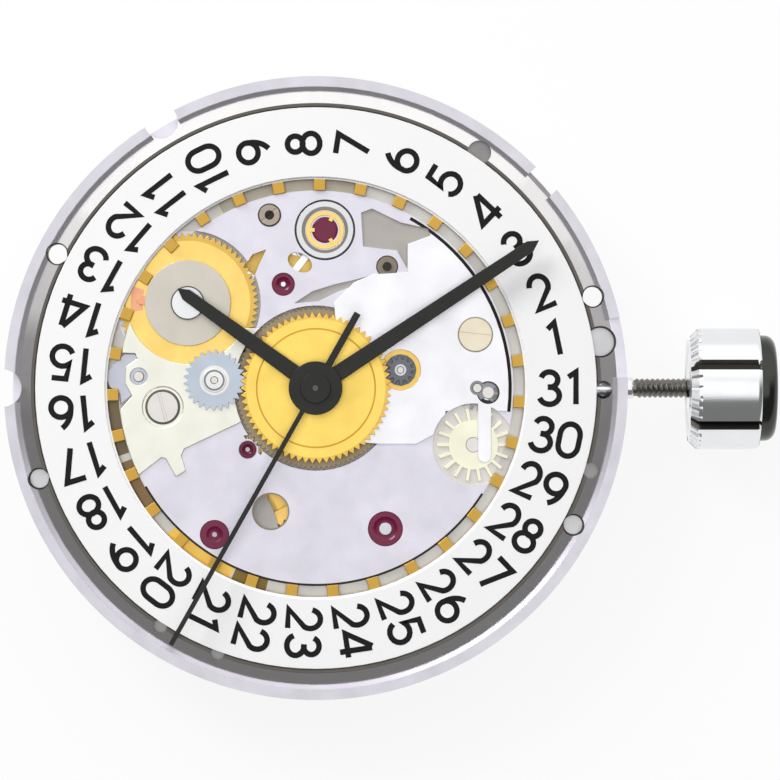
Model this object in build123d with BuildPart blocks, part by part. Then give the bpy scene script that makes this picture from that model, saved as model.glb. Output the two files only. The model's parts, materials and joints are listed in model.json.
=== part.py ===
from build123d import *
import os
from math import atan2, cos, degrees, dist, radians, sin, sqrt

os.makedirs("parts", exist_ok=True)

# Watch movement lying dial side up, in millimetres. The hands turn about Z, the stem
# leaves along +X, twelve o'clock is +Y, and the dial rests on the rim at Z zero.

# Driving dimensions of the plate
flange_radius = 13.10
flange_thickness = 0.48
flange_overhang = 0.30
wall_thickness = 0.55
wall_depth = 2.44
rim_width = 0.42
rib_width = 0.12
ring_seat_width = 2.65
inner_groove_width = 0.89
rib_depth = 0.12
outer_groove_depth = 0.40
outer_groove_rise = 0.16
ring_seat_depth = 0.40
inner_groove_depth = 0.62
plateau_depth = 0.46
plate_thickness = 0.59

# Clearances and the overrun of every cut
play = 0.02
under_cover_gap = 0.04
wheel_gap = 0.06
fit_clearance = 0.02
pivot_clearance = 0.01
recess_clearance = 0.06
overrun = 0.5

# Thicknesses of sheets and wheels
cover_thickness = 0.14
calendar_wheel_thickness = 0.16
motion_wheel_thickness = 0.14
train_wheel_thickness = 0.12
date_ring_thickness = 0.26
date_tooth_thickness = 0.16

# Plan places are read in pixels of a square view from above
axis_column_px = 316
axis_row_px = 388
pixel = 0.041987

# Levels of the dial side
plateau = -plateau_depth
plate_back = plateau - plate_thickness
cover_top = plateau + cover_thickness
upper_wheel_low = cover_top + play
upper_wheel_top = upper_wheel_low + calendar_wheel_thickness
calendar_wheel_top = plateau - under_cover_gap
calendar_wheel_low = calendar_wheel_top - calendar_wheel_thickness
calendar_floor = calendar_wheel_low - 2 * play
minute_wheel_low = calendar_wheel_top - motion_wheel_thickness
minute_floor = minute_wheel_low - 2 * play
driving_wheel_top = minute_wheel_low - wheel_gap
driving_wheel_low = driving_wheel_top - motion_wheel_thickness
driving_floor = driving_wheel_low - 2 * play
ring_low = play - ring_seat_depth
ring_top = ring_low + date_ring_thickness
groove_floor = -inner_groove_depth

# Levels of the train side, each below the one before
third_wheel_gap = 0.07
seconds_wheel_gap = 0.10
great_wheel_gap = 0.04
escape_wheel_gap = 0.14
barrel_gap = 0.10
third_wheel_top = plate_back - third_wheel_gap
third_wheel_low = third_wheel_top - train_wheel_thickness
seconds_wheel_top = third_wheel_low - seconds_wheel_gap
seconds_wheel_low = seconds_wheel_top - train_wheel_thickness
great_wheel_top = seconds_wheel_low - great_wheel_gap
great_wheel_low = great_wheel_top - train_wheel_thickness
escape_wheel_top = seconds_wheel_low - escape_wheel_gap
escape_wheel_low = escape_wheel_top - train_wheel_thickness
barrel_teeth_top = great_wheel_low - barrel_gap
barrel_teeth_thickness = 0.22
barrel_teeth_low = barrel_teeth_top - barrel_teeth_thickness
train_bridge_thickness = 0.42
train_bridge_top = barrel_teeth_low - under_cover_gap
train_bridge_low = train_bridge_top - train_bridge_thickness
barrel_bridge_thickness = 0.18
barrel_bridge_top = -wall_depth
barrel_bridge_low = barrel_bridge_top - barrel_bridge_thickness
ratchet_thickness = 0.15
ratchet_top = barrel_bridge_low - 1.5 * play
ratchet_low = ratchet_top - ratchet_thickness
rotor_wheel_top = ratchet_low - wheel_gap
rotor_wheel_low = rotor_wheel_top - train_wheel_thickness

# Radii of the plate's steps
outer_groove_width = 0.71
casing_radius = flange_radius - flange_overhang
rim_inner = flange_radius - rim_width
rib_outer = rim_inner - outer_groove_width
rib_inner = rib_outer - rib_width
seat_inner = rib_inner - ring_seat_width
plateau_radius = seat_inner - inner_groove_width
wall_inner = casing_radius - wall_thickness

# Tooth proportions as shares of the module and of the pitch
addendum_share = 1.0
dedendum_share = 1.25
wheel_land_share = 0.10
leaf_land_share = 0.22
leaf_root_share = 0.28


def polar(distance, angle, origin=(0, 0)):
    """Point at a distance and an angle in degrees from an origin."""
    turn = radians(angle)
    return (origin[0] + distance * cos(turn), origin[1] + distance * sin(turn))


def spot(column, row):
    """Plan point of a picture pixel."""
    return ((column - axis_column_px) * pixel, (axis_row_px - row) * pixel)


def direction(start, end):
    """Angle in degrees from one plan point to another."""
    return degrees(atan2(end[1] - start[1], end[0] - start[0]))


def shared_module(first, second, start, end):
    """Module of two meshing wheels whose centres are given."""
    return 2 * dist(start, end) / (first + second)


def mesh_distance(first, second, module):
    """Centre distance of two meshing wheels."""
    return module * (first + second) / 2


def mesh_phase(start, end, phase, teeth, next_teeth):
    """Phase of a wheel at end that meshes with the wheel of a known phase at start."""
    angle = direction(start, end)
    return angle + 180 - (phase - angle) * teeth / next_teeth + 180 / next_teeth


def tip_radius(teeth, module):
    """Radius over the teeth."""
    return module * (teeth / 2 + addendum_share)


def corners(teeth, module, at, phase, land_share, root_share):
    """Corner points of a toothed outline, two or one at each tip and each root."""
    pitch = 360 / teeth
    tip = tip_radius(teeth, module)
    root = module * (teeth / 2 - dedendum_share)
    tip_turns = (-land_share / 2, land_share / 2) if land_share else (0,)
    root_turns = (0.5 - root_share / 2, 0.5 + root_share / 2) if root_share else (0.5,)
    points = []
    for index in range(teeth):
        points += [polar(tip, phase + (index + turn) * pitch, at) for turn in tip_turns]
        points += [polar(root, phase + (index + turn) * pitch, at) for turn in root_turns]
    return points


def disc(radius, low, top, at=(0, 0), mode=Mode.ADD):
    """Round disc or, as a cut, a round hole between two levels."""
    with BuildSketch(Plane.XY.offset(low)) as profile:
        with Locations(at):
            Circle(radius)
    extrude(profile.sketch, amount=top - low, mode=mode)


def ring(outer, inner, low, top, at=(0, 0), mode=Mode.ADD):
    """Flat ring between two levels."""
    with BuildSketch(Plane.XY.offset(low)) as profile:
        with Locations(at):
            Circle(outer)
            Circle(inner, mode=Mode.SUBTRACT)
    extrude(profile.sketch, amount=top - low, mode=mode)


def sheet(points, low, top, mode=Mode.ADD):
    """Prism over a closed outline of plan points."""
    with BuildSketch(Plane.XY.offset(low)) as profile:
        with BuildLine():
            Polyline(*points, close=True)
        make_face()
    extrude(profile.sketch, amount=top - low, mode=mode)


def link(circles, low, top, mode=Mode.ADD):
    """Prism over the hull of circles, each given as a centre and a radius."""
    with BuildSketch(Plane.XY.offset(low)) as profile:
        for centre, radius in circles:
            with Locations(centre):
                Circle(radius)
        make_hull()
    extrude(profile.sketch, amount=top - low, mode=mode)


def bar(start, end, width, low, top, mode=Mode.ADD):
    """Straight bar of a given width with round ends."""
    link([(start, width / 2), (end, width / 2)], low, top, mode)


def toothed(teeth, module, low, top, at=(0, 0), phase=0, land=wheel_land_share, root=0):
    """Toothed disc between two levels."""
    sheet(corners(teeth, module, at, phase, land, root), low, top)


def leaves(teeth, module, low, top, at=(0, 0), phase=0):
    """Pinion leaves between two levels."""
    toothed(teeth, module, low, top, at, phase, leaf_land_share, leaf_root_share)


def crossings(arms, arm_width, hub, rim, low, top, at=(0, 0), turn=0):
    """Cuts the windows between a wheel's arms."""
    with BuildSketch(Plane.XY.offset(low)) as profile:
        with Locations(Location((at[0], at[1], 0), (0, 0, turn))):
            Circle(rim)
            Circle(hub, mode=Mode.SUBTRACT)
            with PolarLocations(rim / 2, arms):
                Rectangle(rim, arm_width, mode=Mode.SUBTRACT)
    extrude(profile.sketch, amount=top - low, mode=Mode.SUBTRACT)


# Wheels: teeth and leaves, with the modules that set the centre distances
hour_teeth = 66
hour_module = 0.0931
minute_leaves = 12
cannon_leaves = 22
minute_teeth = 48
setting_teeth = 16
intermediate_teeth = 26
intermediate_leaves = 13
date_wheel_teeth = 66
date_wheel_module = 0.08709
driving_teeth = 98
driving_module = 0.06916
third_leaves = 14
third_teeth = 60
seconds_leaves = 7
seconds_teeth = 96
escape_leaves = 8
escape_teeth = 20
great_teeth = 97
great_leaves = 25
barrel_teeth = 75
great_distance = 3.838
barrel_distance = 7.194
winding_module = 0.14
winding_leaves = 12
crown_wheel_teeth = 40
ratchet_teeth = 50
rotor_module = 0.10
rotor_teeth = 30
reverser_teeth = 26
reduction_teeth = 40
reduction_leaves = 10

# Directions of the centre lines in degrees
minute_angle = 12.1
intermediate_angle = 175.6
date_wheel_angle = 109.05
third_angle = 221.97
great_angle = 248.7
barrel_angle = 1.96
reverser_angle = 225

# Centres of the wheels
centre = (0, 0)
minute_centre = polar(mesh_distance(hour_teeth, minute_leaves, hour_module), minute_angle)
motion_module = shared_module(cannon_leaves, minute_teeth, centre, minute_centre)
setting_distance = mesh_distance(minute_teeth, setting_teeth, motion_module)
setting_centre = (minute_centre[0] + sqrt(setting_distance**2 - minute_centre[1] ** 2), 0)
intermediate_centre = polar(
    mesh_distance(hour_teeth, intermediate_teeth, hour_module), intermediate_angle
)
date_wheel_centre = polar(
    mesh_distance(date_wheel_teeth, intermediate_leaves, date_wheel_module),
    date_wheel_angle,
    intermediate_centre,
)
third_centre = polar(mesh_distance(driving_teeth, third_leaves, driving_module), third_angle)
third_module = shared_module(third_teeth, seconds_leaves, centre, third_centre)
great_centre = polar(great_distance, great_angle, third_centre)
great_module = shared_module(great_teeth, third_leaves, great_centre, third_centre)
barrel_centre = polar(barrel_distance, barrel_angle, great_centre)
barrel_module = shared_module(great_leaves, barrel_teeth, great_centre, barrel_centre)
escape_centre = spot(239.3, 347.3)
seconds_module = shared_module(seconds_teeth, escape_leaves, centre, escape_centre)
fork_centre = spot(283.1, 283.9)
balance_centre = spot(324.8, 229.4)
crown_wheel_distance = mesh_distance(crown_wheel_teeth, ratchet_teeth, winding_module)
crown_wheel_centre = (
    barrel_centre[0] + sqrt(crown_wheel_distance**2 - barrel_centre[1] ** 2),
    0,
)
first_reverser_centre = polar(
    mesh_distance(rotor_teeth, reverser_teeth, rotor_module), reverser_angle
)
second_reverser_angle = 160
second_reverser_centre = polar(
    mesh_distance(reverser_teeth, reverser_teeth, rotor_module),
    second_reverser_angle,
    first_reverser_centre,
)
reduction_angle = 170
reduction_centre = polar(
    mesh_distance(ratchet_teeth, reduction_leaves, winding_module),
    reduction_angle,
    barrel_centre,
)
corrector_centre = spot(473.7, 444.9)

# Mainplate: recesses, holes, pillars and the block that carries the stem
recess_edge = 0.10
jewel_collar = 0.18
collar_floor_thickness = 0.18
dial_foot_radius = 0.42
dial_foot_inset = 0.85
dial_foot_circle = flange_radius - dial_foot_inset
foot_pocket_radius = 0.60
dial_foot_angles = (152.6, 18.3)
blind_foot_angles = (198.1, -28)
see_through_radius = 0.73
see_through_disc_radius = 2.67
fork_window_long = 1.10
fork_window_short = 0.75
stem_level = -1.75
stem_bore_radius = 0.47
stem_block_start = 8.5
stem_block_inset = 0.30
stem_block_end = casing_radius - stem_block_inset
stem_block_half = 1.2
stem_boss_inset = 0.04
stem_boss_end = flange_radius - stem_boss_inset
stem_boss_half = 0.52
pilot_start = 4.4
pilot_end = 5.0
pilot_half = 0.45
pilot_radius = 0.30
lever_pocket_start = 8.9
lever_pocket_end = 11.2
lever_gap = 0.03
setting_lever_thickness = 0.14
lever_top = plate_back - lever_gap
lever_low = lever_top - setting_lever_thickness
winding_tip = tip_radius(winding_leaves, winding_module)
winding_pocket_start = 7.3
winding_pocket_half = 0.95
winding_pocket_top = -0.82

jewel_radii = {"third": 0.35, "great": 0.62, "barrel": 0.74, "fork": 0.49, "escape": 0.28}
chamber_radius = tip_radius(third_leaves, driving_module) + recess_clearance
jewel_thickness = 0.16
shock_radius = 1.20

driving_recess = tip_radius(driving_teeth, driving_module) + play
minute_recess = tip_radius(minute_teeth, motion_module) + recess_clearance
setting_recess = tip_radius(setting_teeth, motion_module) + recess_clearance
date_recess = tip_radius(date_wheel_teeth, date_wheel_module) + recess_edge
pinion_recess = tip_radius(intermediate_leaves, date_wheel_module) + recess_clearance
corrector_pocket = 1.72
corrector_pocket_depth = 0.18
corrector_floor = plateau - corrector_pocket_depth
jumper_floor = groove_floor
tube_radius = 0.24
see_through_centre = spot(270.5, 511.6)
see_through_ledge = 0.15
see_through_floor = plate_back + see_through_ledge
fork_window_centre = spot(299.8, 262.0)
fork_window_tilt = -30
flat_notch_angle = 42.3
flat_notch_width = 1.30
flat_notch_depth = 0.50
flat_notch_floor = flange_radius - flat_notch_depth
open_rim_angles = (2, 13.2)
lever_slot_start = 9.25
lever_slot_end = 10.60
lever_slot_half = 0.30
stem_window_centre = spot(603.9, 389.6)
stem_window_radius = 0.38

# Notches and holes of the rim: the angle, then the inset from the flange and the radius
rim_notches_px = [(120.2, 3.3, 17), (180, -2, 19)]
rim_holes_px = [
    (-16.7, 24, 8),
    (236.8, 26.4, 7),
    (249.6, 28, 7),
    (55.3, 25, 12),
    (9.25, 23.4, 15),
]

# Outlines of the plate's recesses
bean_px = [
    (361, 212),
    (372, 208),
    (401, 222),
    (428, 228),
    (431, 236),
    (407, 268),
    (397, 250),
    (363, 246),
]
lens_px = [
    (294, 303),
    (312, 291),
    (334, 284),
    (356, 279),
    (371, 275),
    (354, 285),
    (336, 292),
    (318, 301),
]
jumper_pocket_px = [(143, 351), (104, 345), (98, 430), (150, 425), (156, 372)]
crescent_px = [(240, 289), (243, 268), (252, 254), (266, 249), (259, 264), (252, 281)]

plate_profile = [
    (0, plateau),
    (plateau_radius, plateau),
    (plateau_radius, groove_floor),
    (seat_inner, groove_floor),
    (seat_inner, -ring_seat_depth),
    (rib_inner, -ring_seat_depth),
    (rib_inner, -rib_depth),
    (rib_outer, -rib_depth),
    (rib_outer, outer_groove_rise - outer_groove_depth),
    (rim_inner, -outer_groove_depth),
    (rim_inner, 0),
    (flange_radius, 0),
    (flange_radius, -flange_thickness),
    (casing_radius, -flange_thickness),
    (casing_radius, -wall_depth),
    (wall_inner, -wall_depth),
    (wall_inner, plate_back),
    (0, plate_back),
]


def along_stem(radius, start, end, mode=Mode.ADD):
    """Cylinder on the stem's axis between two distances from the hands' axis."""
    with BuildSketch(Plane.YZ.offset(start)) as profile:
        with Locations((0, stem_level)):
            Circle(radius)
    extrude(profile.sketch, amount=end - start, mode=mode)


def block(start, end, low, top, mode=Mode.ADD):
    """Upright block over a rectangle between two corners."""
    sheet([start, (end[0], start[1]), end, (start[0], end[1])], low, top, mode)


def cut_spots(pixels, low, top):
    """Cuts a recess whose outline is given in picture pixels."""
    sheet([spot(column, row) for column, row in pixels], low, top, Mode.SUBTRACT)


with BuildPart() as mainplate:
    with BuildSketch(Plane.XZ) as turned:
        with BuildLine():
            Polyline(*plate_profile, close=True)
        make_face()
    revolve(turned.sketch, Axis.Z)
    # Recesses of the calendar and minute trains
    disc(driving_recess, driving_floor, overrun, mode=Mode.SUBTRACT)
    disc(minute_recess, minute_floor, overrun, minute_centre, Mode.SUBTRACT)
    disc(setting_recess, minute_floor, overrun, setting_centre, Mode.SUBTRACT)
    disc(date_recess, calendar_floor, overrun, date_wheel_centre, Mode.SUBTRACT)
    disc(pinion_recess, calendar_floor, overrun, intermediate_centre, Mode.SUBTRACT)
    disc(corrector_pocket, corrector_floor, overrun, corrector_centre, Mode.SUBTRACT)
    for outline in (bean_px, lens_px, jumper_pocket_px):
        cut_spots(outline, jumper_floor, overrun)
    cut_spots(crescent_px, plate_back - overrun, overrun)
    # Chamber of the third pinion below its jewel, open to the recess beside it
    disc(
        chamber_radius,
        plate_back - overrun,
        plateau - collar_floor_thickness,
        third_centre,
        Mode.SUBTRACT,
    )
    with BuildSketch(Plane.XY.offset(driving_floor)) as window:
        Circle(driving_recess + jewel_collar)
        with Locations(third_centre):
            Circle(chamber_radius, mode=Mode.INTERSECT)
            Circle(jewel_radii["third"] + recess_edge, mode=Mode.SUBTRACT)
    extrude(window.sketch, amount=overrun - driving_floor, mode=Mode.SUBTRACT)
    # Jewel holes, windows on the train and the hole of the centre tube
    for name, at in (
        ("great", great_centre),
        ("barrel", barrel_centre),
        ("fork", fork_centre),
        ("third", third_centre),
        ("escape", escape_centre),
    ):
        disc(jewel_radii[name], plate_back - overrun, overrun, at, Mode.SUBTRACT)
    disc(shock_radius, plate_back - overrun, overrun, balance_centre, Mode.SUBTRACT)
    disc(tube_radius, plate_back - overrun, overrun, mode=Mode.SUBTRACT)
    disc(see_through_radius, see_through_floor, overrun, see_through_centre, Mode.SUBTRACT)
    with BuildSketch(Plane.XY.offset(plate_back - overrun)) as window:
        with Locations(see_through_centre):
            Circle(see_through_radius)
        with Locations(great_centre):
            Circle(see_through_disc_radius, mode=Mode.SUBTRACT)
    extrude(window.sketch, amount=plate_thickness + overrun, mode=Mode.SUBTRACT)
    with BuildSketch(Plane.XY.offset(plate_back - overrun)) as window:
        with Locations(Location((*fork_window_centre, 0), (0, 0, fork_window_tilt))):
            Ellipse(fork_window_long / 2, fork_window_short / 2)
    extrude(window.sketch, amount=2 * plate_thickness + overrun, mode=Mode.SUBTRACT)
    # Rim: dial feet, notches, the opened stretch over the stem and small holes
    for angle in dial_foot_angles:
        at = polar(dial_foot_circle, angle)
        disc(dial_foot_radius, plate_back - overrun, overrun, at, Mode.SUBTRACT)
        disc(foot_pocket_radius, -wall_depth - overrun, plate_back, at, Mode.SUBTRACT)
    for angle in blind_foot_angles:
        at = polar(dial_foot_circle, angle)
        disc(dial_foot_radius, groove_floor, overrun, at, Mode.SUBTRACT)
    for angle, inset_px, radius_px in rim_notches_px:
        at = polar(flange_radius - inset_px * pixel, angle)
        disc(radius_px * pixel, -flange_thickness - overrun, overrun, at, Mode.SUBTRACT)
    for angle, inset_px, radius_px in rim_holes_px:
        at = polar(flange_radius - inset_px * pixel, angle)
        disc(radius_px * pixel, driving_floor, overrun, at, Mode.SUBTRACT)
    with BuildSketch(Plane.XY.offset(-flange_thickness)) as notch:
        notch_at = polar(flat_notch_floor + overrun, flat_notch_angle)
        with Locations(Location((*notch_at, 0), (0, 0, flat_notch_angle))):
            Rectangle(2 * overrun, flat_notch_width)
    extrude(notch.sketch, amount=flange_thickness + overrun, mode=Mode.SUBTRACT)
    open_corners = [centre] + [polar(2 * flange_radius, angle) for angle in open_rim_angles]
    with BuildSketch(Plane.XY.offset(-outer_groove_depth)) as opened:
        with BuildLine():
            Polyline(*open_corners, close=True)
        make_face()
        Circle(rim_inner - play, mode=Mode.SUBTRACT)
    extrude(opened.sketch, amount=outer_groove_depth + overrun, mode=Mode.SUBTRACT)
    # Block of the stem, its boss outside, pilot bearing, bores and the lever's pocket
    block(
        (stem_block_start, -stem_block_half),
        (stem_block_end, stem_block_half),
        -wall_depth,
        plate_back,
    )
    block(
        (casing_radius - wall_thickness, -stem_boss_half),
        (stem_boss_end, stem_boss_half),
        stem_level - stem_boss_half,
        -flange_thickness - play,
    )
    block(
        (pilot_start, -pilot_half),
        (pilot_end, pilot_half),
        stem_level - pilot_half,
        plate_back,
    )
    along_stem(stem_bore_radius, winding_pocket_start, flange_radius + overrun, Mode.SUBTRACT)
    along_stem(
        pilot_radius + pivot_clearance,
        pilot_start - overrun,
        pilot_end + overrun,
        Mode.SUBTRACT,
    )
    block(
        (winding_pocket_start, -winding_pocket_half),
        (stem_block_start, winding_pocket_half),
        -wall_depth - overrun,
        winding_pocket_top,
        Mode.SUBTRACT,
    )
    block(
        (lever_pocket_start, -stem_block_half - overrun),
        (lever_pocket_end, stem_block_half + overrun),
        lever_low - play,
        plate_back,
        Mode.SUBTRACT,
    )
    block(
        (lever_slot_start, -lever_slot_half),
        (lever_slot_end, lever_slot_half),
        stem_level,
        plate_back,
        Mode.SUBTRACT,
    )
    disc(stem_window_radius, stem_level, overrun, stem_window_centre, Mode.SUBTRACT)

# Date ring with its inner teeth
date_count = 31
ring_side_gap = 0.05
date_ring_width = 3.02
date_tooth_depth = 0.42
date_ring_outer = rib_inner - ring_side_gap
date_ring_inner = date_ring_outer - date_ring_width
date_tooth_tip = date_ring_inner - date_tooth_depth
date_tooth_width = 0.50
date_phase = 7.7

with BuildPart() as date_ring:
    ring(date_ring_outer, date_ring_inner + recess_edge, ring_low, ring_top)
    with BuildSketch(Plane.XY.offset(ring_low)) as toothing:
        Circle(date_ring_inner + recess_edge)
        Circle(date_ring_inner, mode=Mode.SUBTRACT)
        with Locations(Location((0, 0, 0), (0, 0, date_phase))):
            with PolarLocations(date_ring_inner - date_tooth_depth / 2, date_count):
                Rectangle(date_tooth_depth + recess_edge, date_tooth_width)
    extrude(toothing.sketch, amount=date_tooth_thickness)

# Date driving wheel, its grey disc and its copper-coloured finger on a fixed post
date_disc_radius = 1.80
date_disc_thickness = 0.10
date_head_radius = 0.71
date_head_thickness = 0.10
date_post_radius = 0.30
date_finger_radius = 2.14
date_finger_angle = 177
date_finger_width = 0.34
intermediate_phase = mesh_phase(centre, intermediate_centre, 0, hour_teeth, intermediate_teeth)
date_wheel_phase = mesh_phase(
    intermediate_centre, date_wheel_centre, 0, intermediate_leaves, date_wheel_teeth
)
date_finger_low = calendar_wheel_top + under_cover_gap
date_finger_top = cover_top - play
date_disc_low = date_finger_top
date_disc_top = date_disc_low + date_disc_thickness

with BuildPart() as date_driving_wheel:
    toothed(
        date_wheel_teeth,
        date_wheel_module,
        calendar_wheel_low,
        calendar_wheel_top,
        date_wheel_centre,
        date_wheel_phase,
    )
    disc(date_head_radius, calendar_wheel_top, date_finger_low, date_wheel_centre)
    disc(
        date_post_radius + fit_clearance,
        calendar_wheel_low,
        date_finger_low,
        date_wheel_centre,
        Mode.SUBTRACT,
    )

with BuildPart() as date_finger:
    disc(date_disc_radius - date_finger_width, date_finger_low, date_finger_top, date_wheel_centre)
    link(
        [
            (date_wheel_centre, date_finger_width),
            (
                polar(date_finger_radius - date_finger_width / 2, date_finger_angle, date_wheel_centre),
                date_finger_width / 2,
            ),
        ],
        date_finger_low,
        date_finger_top,
    )
    disc(
        date_post_radius + fit_clearance,
        date_finger_low,
        date_finger_top,
        date_wheel_centre,
        Mode.SUBTRACT,
    )

with BuildPart() as date_disc:
    ring(
        date_disc_radius,
        date_post_radius + fit_clearance,
        date_disc_low,
        date_disc_top,
        date_wheel_centre,
    )

# Intermediate date wheel with its pinion below the cover
intermediate_post_radius = 0.14
intermediate_hub_radius = 0.50
intermediate_hub_height = 0.06

with BuildPart() as intermediate_date_wheel:
    toothed(
        intermediate_teeth,
        hour_module,
        upper_wheel_low,
        upper_wheel_top,
        intermediate_centre,
        intermediate_phase,
    )
    leaves(
        intermediate_leaves,
        date_wheel_module,
        calendar_wheel_low,
        upper_wheel_low,
        intermediate_centre,
    )
    disc(
        intermediate_hub_radius,
        upper_wheel_top,
        upper_wheel_top + intermediate_hub_height,
        intermediate_centre,
    )
    disc(
        intermediate_post_radius + fit_clearance,
        calendar_wheel_low,
        upper_wheel_top + intermediate_hub_height,
        intermediate_centre,
        Mode.SUBTRACT,
    )

# Date jumper: a steel lever whose beak lies under the ring's teeth
jumper_thickness = 0.12
jumper_low = groove_floor + play
jumper_top = jumper_low + jumper_thickness
jumper_centre = spot(138.3, 376.4)
jumper_post_radius = 0.20
jumper_hub_radius = 0.42
jumper_px = [
    (139, 366),
    (137, 357.6),
    (134.2, 354),
    (124, 354),
    (112, 365),
    (104.5, 375),
    (109.2, 387),
    (119.4, 393.3),
    (120.9, 403.5),
    (133, 393.3),
    (140, 386),
]

with BuildPart() as date_jumper:
    sheet([spot(column, row) for column, row in jumper_px], jumper_low, jumper_top)
    disc(jumper_hub_radius, jumper_low, jumper_top, jumper_centre)
    disc(
        jumper_post_radius + fit_clearance,
        jumper_low,
        jumper_top,
        jumper_centre,
        Mode.SUBTRACT,
    )

# Cream cover plate over the jumper
cover_hole_radius = 0.36
cover_screw_centre = spot(162.4, 407)
cover_screw_radius = 0.64
countersink_radius = 0.86
countersink_depth = 0.07
screw_shank_radius = 0.30
cover_arc_px = 61
cover_hour_px = 82
jumper_cover_px = [
    (262, 328),
    (262, 400),
    (239.3, 422.9),
    (184, 449),
    (181, 456),
    (185.7, 470.8),
    (175.5, 477),
    (165.3, 458.6),
    (161.2, 457.6),
    (134.7, 478),
    (129.6, 477),
    (124.5, 467.8),
    (116.3, 447.3),
    (114.3, 428),
    (120.4, 408.6),
    (131.6, 396.3),
    (124.5, 383),
    (125.5, 366.7),
    (136.7, 358.6),
    (134.7, 353.5),
    (112.2, 352.4),
    (114, 338.2),
    (118, 320),
    (126, 302),
    (190, 302),
    (214, 328),
]
cover_bites_px = [(125.5, 457.6, 5), (115.5, 338.2, 6)]

with BuildPart() as jumper_cover_plate:
    with BuildSketch(Plane.XY.offset(plateau)) as outline:
        with BuildLine():
            Polyline(*[spot(column, row) for column, row in jumper_cover_px], close=True)
        make_face()
        Circle(plateau_radius, mode=Mode.INTERSECT)
        Circle(cover_hour_px * pixel, mode=Mode.SUBTRACT)
        with Locations(date_wheel_centre):
            Circle(cover_arc_px * pixel, mode=Mode.SUBTRACT)
        with Locations(intermediate_centre):
            Circle(pinion_recess, mode=Mode.SUBTRACT)
        with Locations(jumper_centre):
            Circle(cover_hole_radius, mode=Mode.SUBTRACT)
        with Locations(cover_screw_centre):
            Circle(screw_shank_radius + fit_clearance, mode=Mode.SUBTRACT)
        for column, row, radius in cover_bites_px:
            with Locations(spot(column, row)):
                Circle(radius * pixel, mode=Mode.SUBTRACT)
    extrude(outline.sketch, amount=cover_thickness)
    disc(
        countersink_radius,
        cover_top - countersink_depth,
        cover_top,
        cover_screw_centre,
        Mode.SUBTRACT,
    )

# Silver cover plate over the minute train and the keyless works
calendar_cover_inset = 0.21
calendar_cover_inner_px = 55
pinion_window_radius = 0.86
calendar_screw_centre = spot(475.6, 334.4)
calendar_screw_radius = 0.69
lever_post_centre = spot(488.4, 392.5)
lever_post_radius = 0.24
lever_hole_radius = 0.43
setting_post_radius = 0.18
setting_hole_radius = 0.30
tongue_width = 0.56
tongue_start = spot(484.8, 405)
tongue_end = spot(484.8, 456)
corrector_edge = 0.02
calendar_cover_px = [
    (431, 235),
    (407.6, 243.7),
    (407.6, 272),
    (373, 274),
    (354.5, 282),
    (334, 303),
    (336, 330),
    (336, 440),
    (380, 444),
    (416, 444),
    (443, 430),
    (446, 411),
    (540, 411),
    (540, 170),
]

with BuildPart() as calendar_cover_plate:
    with BuildSketch(Plane.XY.offset(plateau)) as outline:
        with BuildLine():
            Polyline(*[spot(column, row) for column, row in calendar_cover_px], close=True)
        make_face()
        Circle(plateau_radius - calendar_cover_inset, mode=Mode.INTERSECT)
        Circle(calendar_cover_inner_px * pixel, mode=Mode.SUBTRACT)
        with Locations(corrector_centre):
            Circle(corrector_pocket + corrector_edge, mode=Mode.SUBTRACT)
        with Locations(minute_centre):
            Circle(pinion_window_radius, mode=Mode.SUBTRACT)
        with Locations(calendar_screw_centre):
            Circle(screw_shank_radius + fit_clearance, mode=Mode.SUBTRACT)
        with Locations(lever_post_centre):
            Circle(lever_hole_radius, mode=Mode.SUBTRACT)
        with Locations(setting_centre):
            Circle(setting_hole_radius, mode=Mode.SUBTRACT)
    extrude(outline.sketch, amount=cover_thickness)
    bar(tongue_start, tongue_end, tongue_width, plateau, cover_top)
    disc(
        calendar_screw_radius + fit_clearance,
        cover_top - countersink_depth,
        cover_top,
        calendar_screw_centre,
        Mode.SUBTRACT,
    )

# Date corrector wheel with long thin teeth
corrector_teeth = 18
corrector_disc_radius = 1.05
corrector_tip_radius = 1.54
corrector_tooth_width = 0.14
corrector_thickness = 0.12
corrector_post_radius = 0.30
corrector_top = plateau - play
corrector_low = corrector_top - corrector_thickness

with BuildPart() as corrector_wheel:
    with BuildSketch(Plane.XY.offset(corrector_low)) as outline:
        with Locations(corrector_centre):
            Circle(corrector_disc_radius)
            with PolarLocations(corrector_tip_radius / 2, corrector_teeth):
                Rectangle(corrector_tip_radius, corrector_tooth_width)
            Circle(corrector_post_radius + fit_clearance, mode=Mode.SUBTRACT)
    extrude(outline.sketch, amount=corrector_thickness)

# Hour wheel with its pipe
hour_pipe_outer = 0.85
hour_pipe_inner = 0.53
hour_pipe_top = 0.62

with BuildPart() as hour_wheel:
    toothed(hour_teeth, hour_module, upper_wheel_low, upper_wheel_top)
    disc(hour_pipe_outer, plateau, hour_pipe_top)
    disc(hour_pipe_inner, plateau, hour_pipe_top, mode=Mode.SUBTRACT)

# Cannon pinion with the driving wheel that turns it by friction
cannon_pipe_outer = 0.50
cannon_pipe_inner = 0.26
minute_hand_thickness = 0.12
minute_hand_low = 0.80
minute_hand_top = minute_hand_low + minute_hand_thickness
driving_arms = 5
driving_arm_width = 0.40
driving_hub_radius = 0.95
driving_rim_width = 0.55
minute_phase = mesh_phase(centre, minute_centre, 0, cannon_leaves, minute_teeth)
setting_phase = mesh_phase(
    minute_centre, setting_centre, minute_phase, minute_teeth, setting_teeth
)

with BuildPart() as cannon_pinion:
    leaves(cannon_leaves, motion_module, driving_wheel_top, plateau - play)
    disc(cannon_pipe_outer, driving_wheel_low, minute_hand_top)
    disc(cannon_pipe_inner, driving_wheel_low, minute_hand_top, mode=Mode.SUBTRACT)

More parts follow.
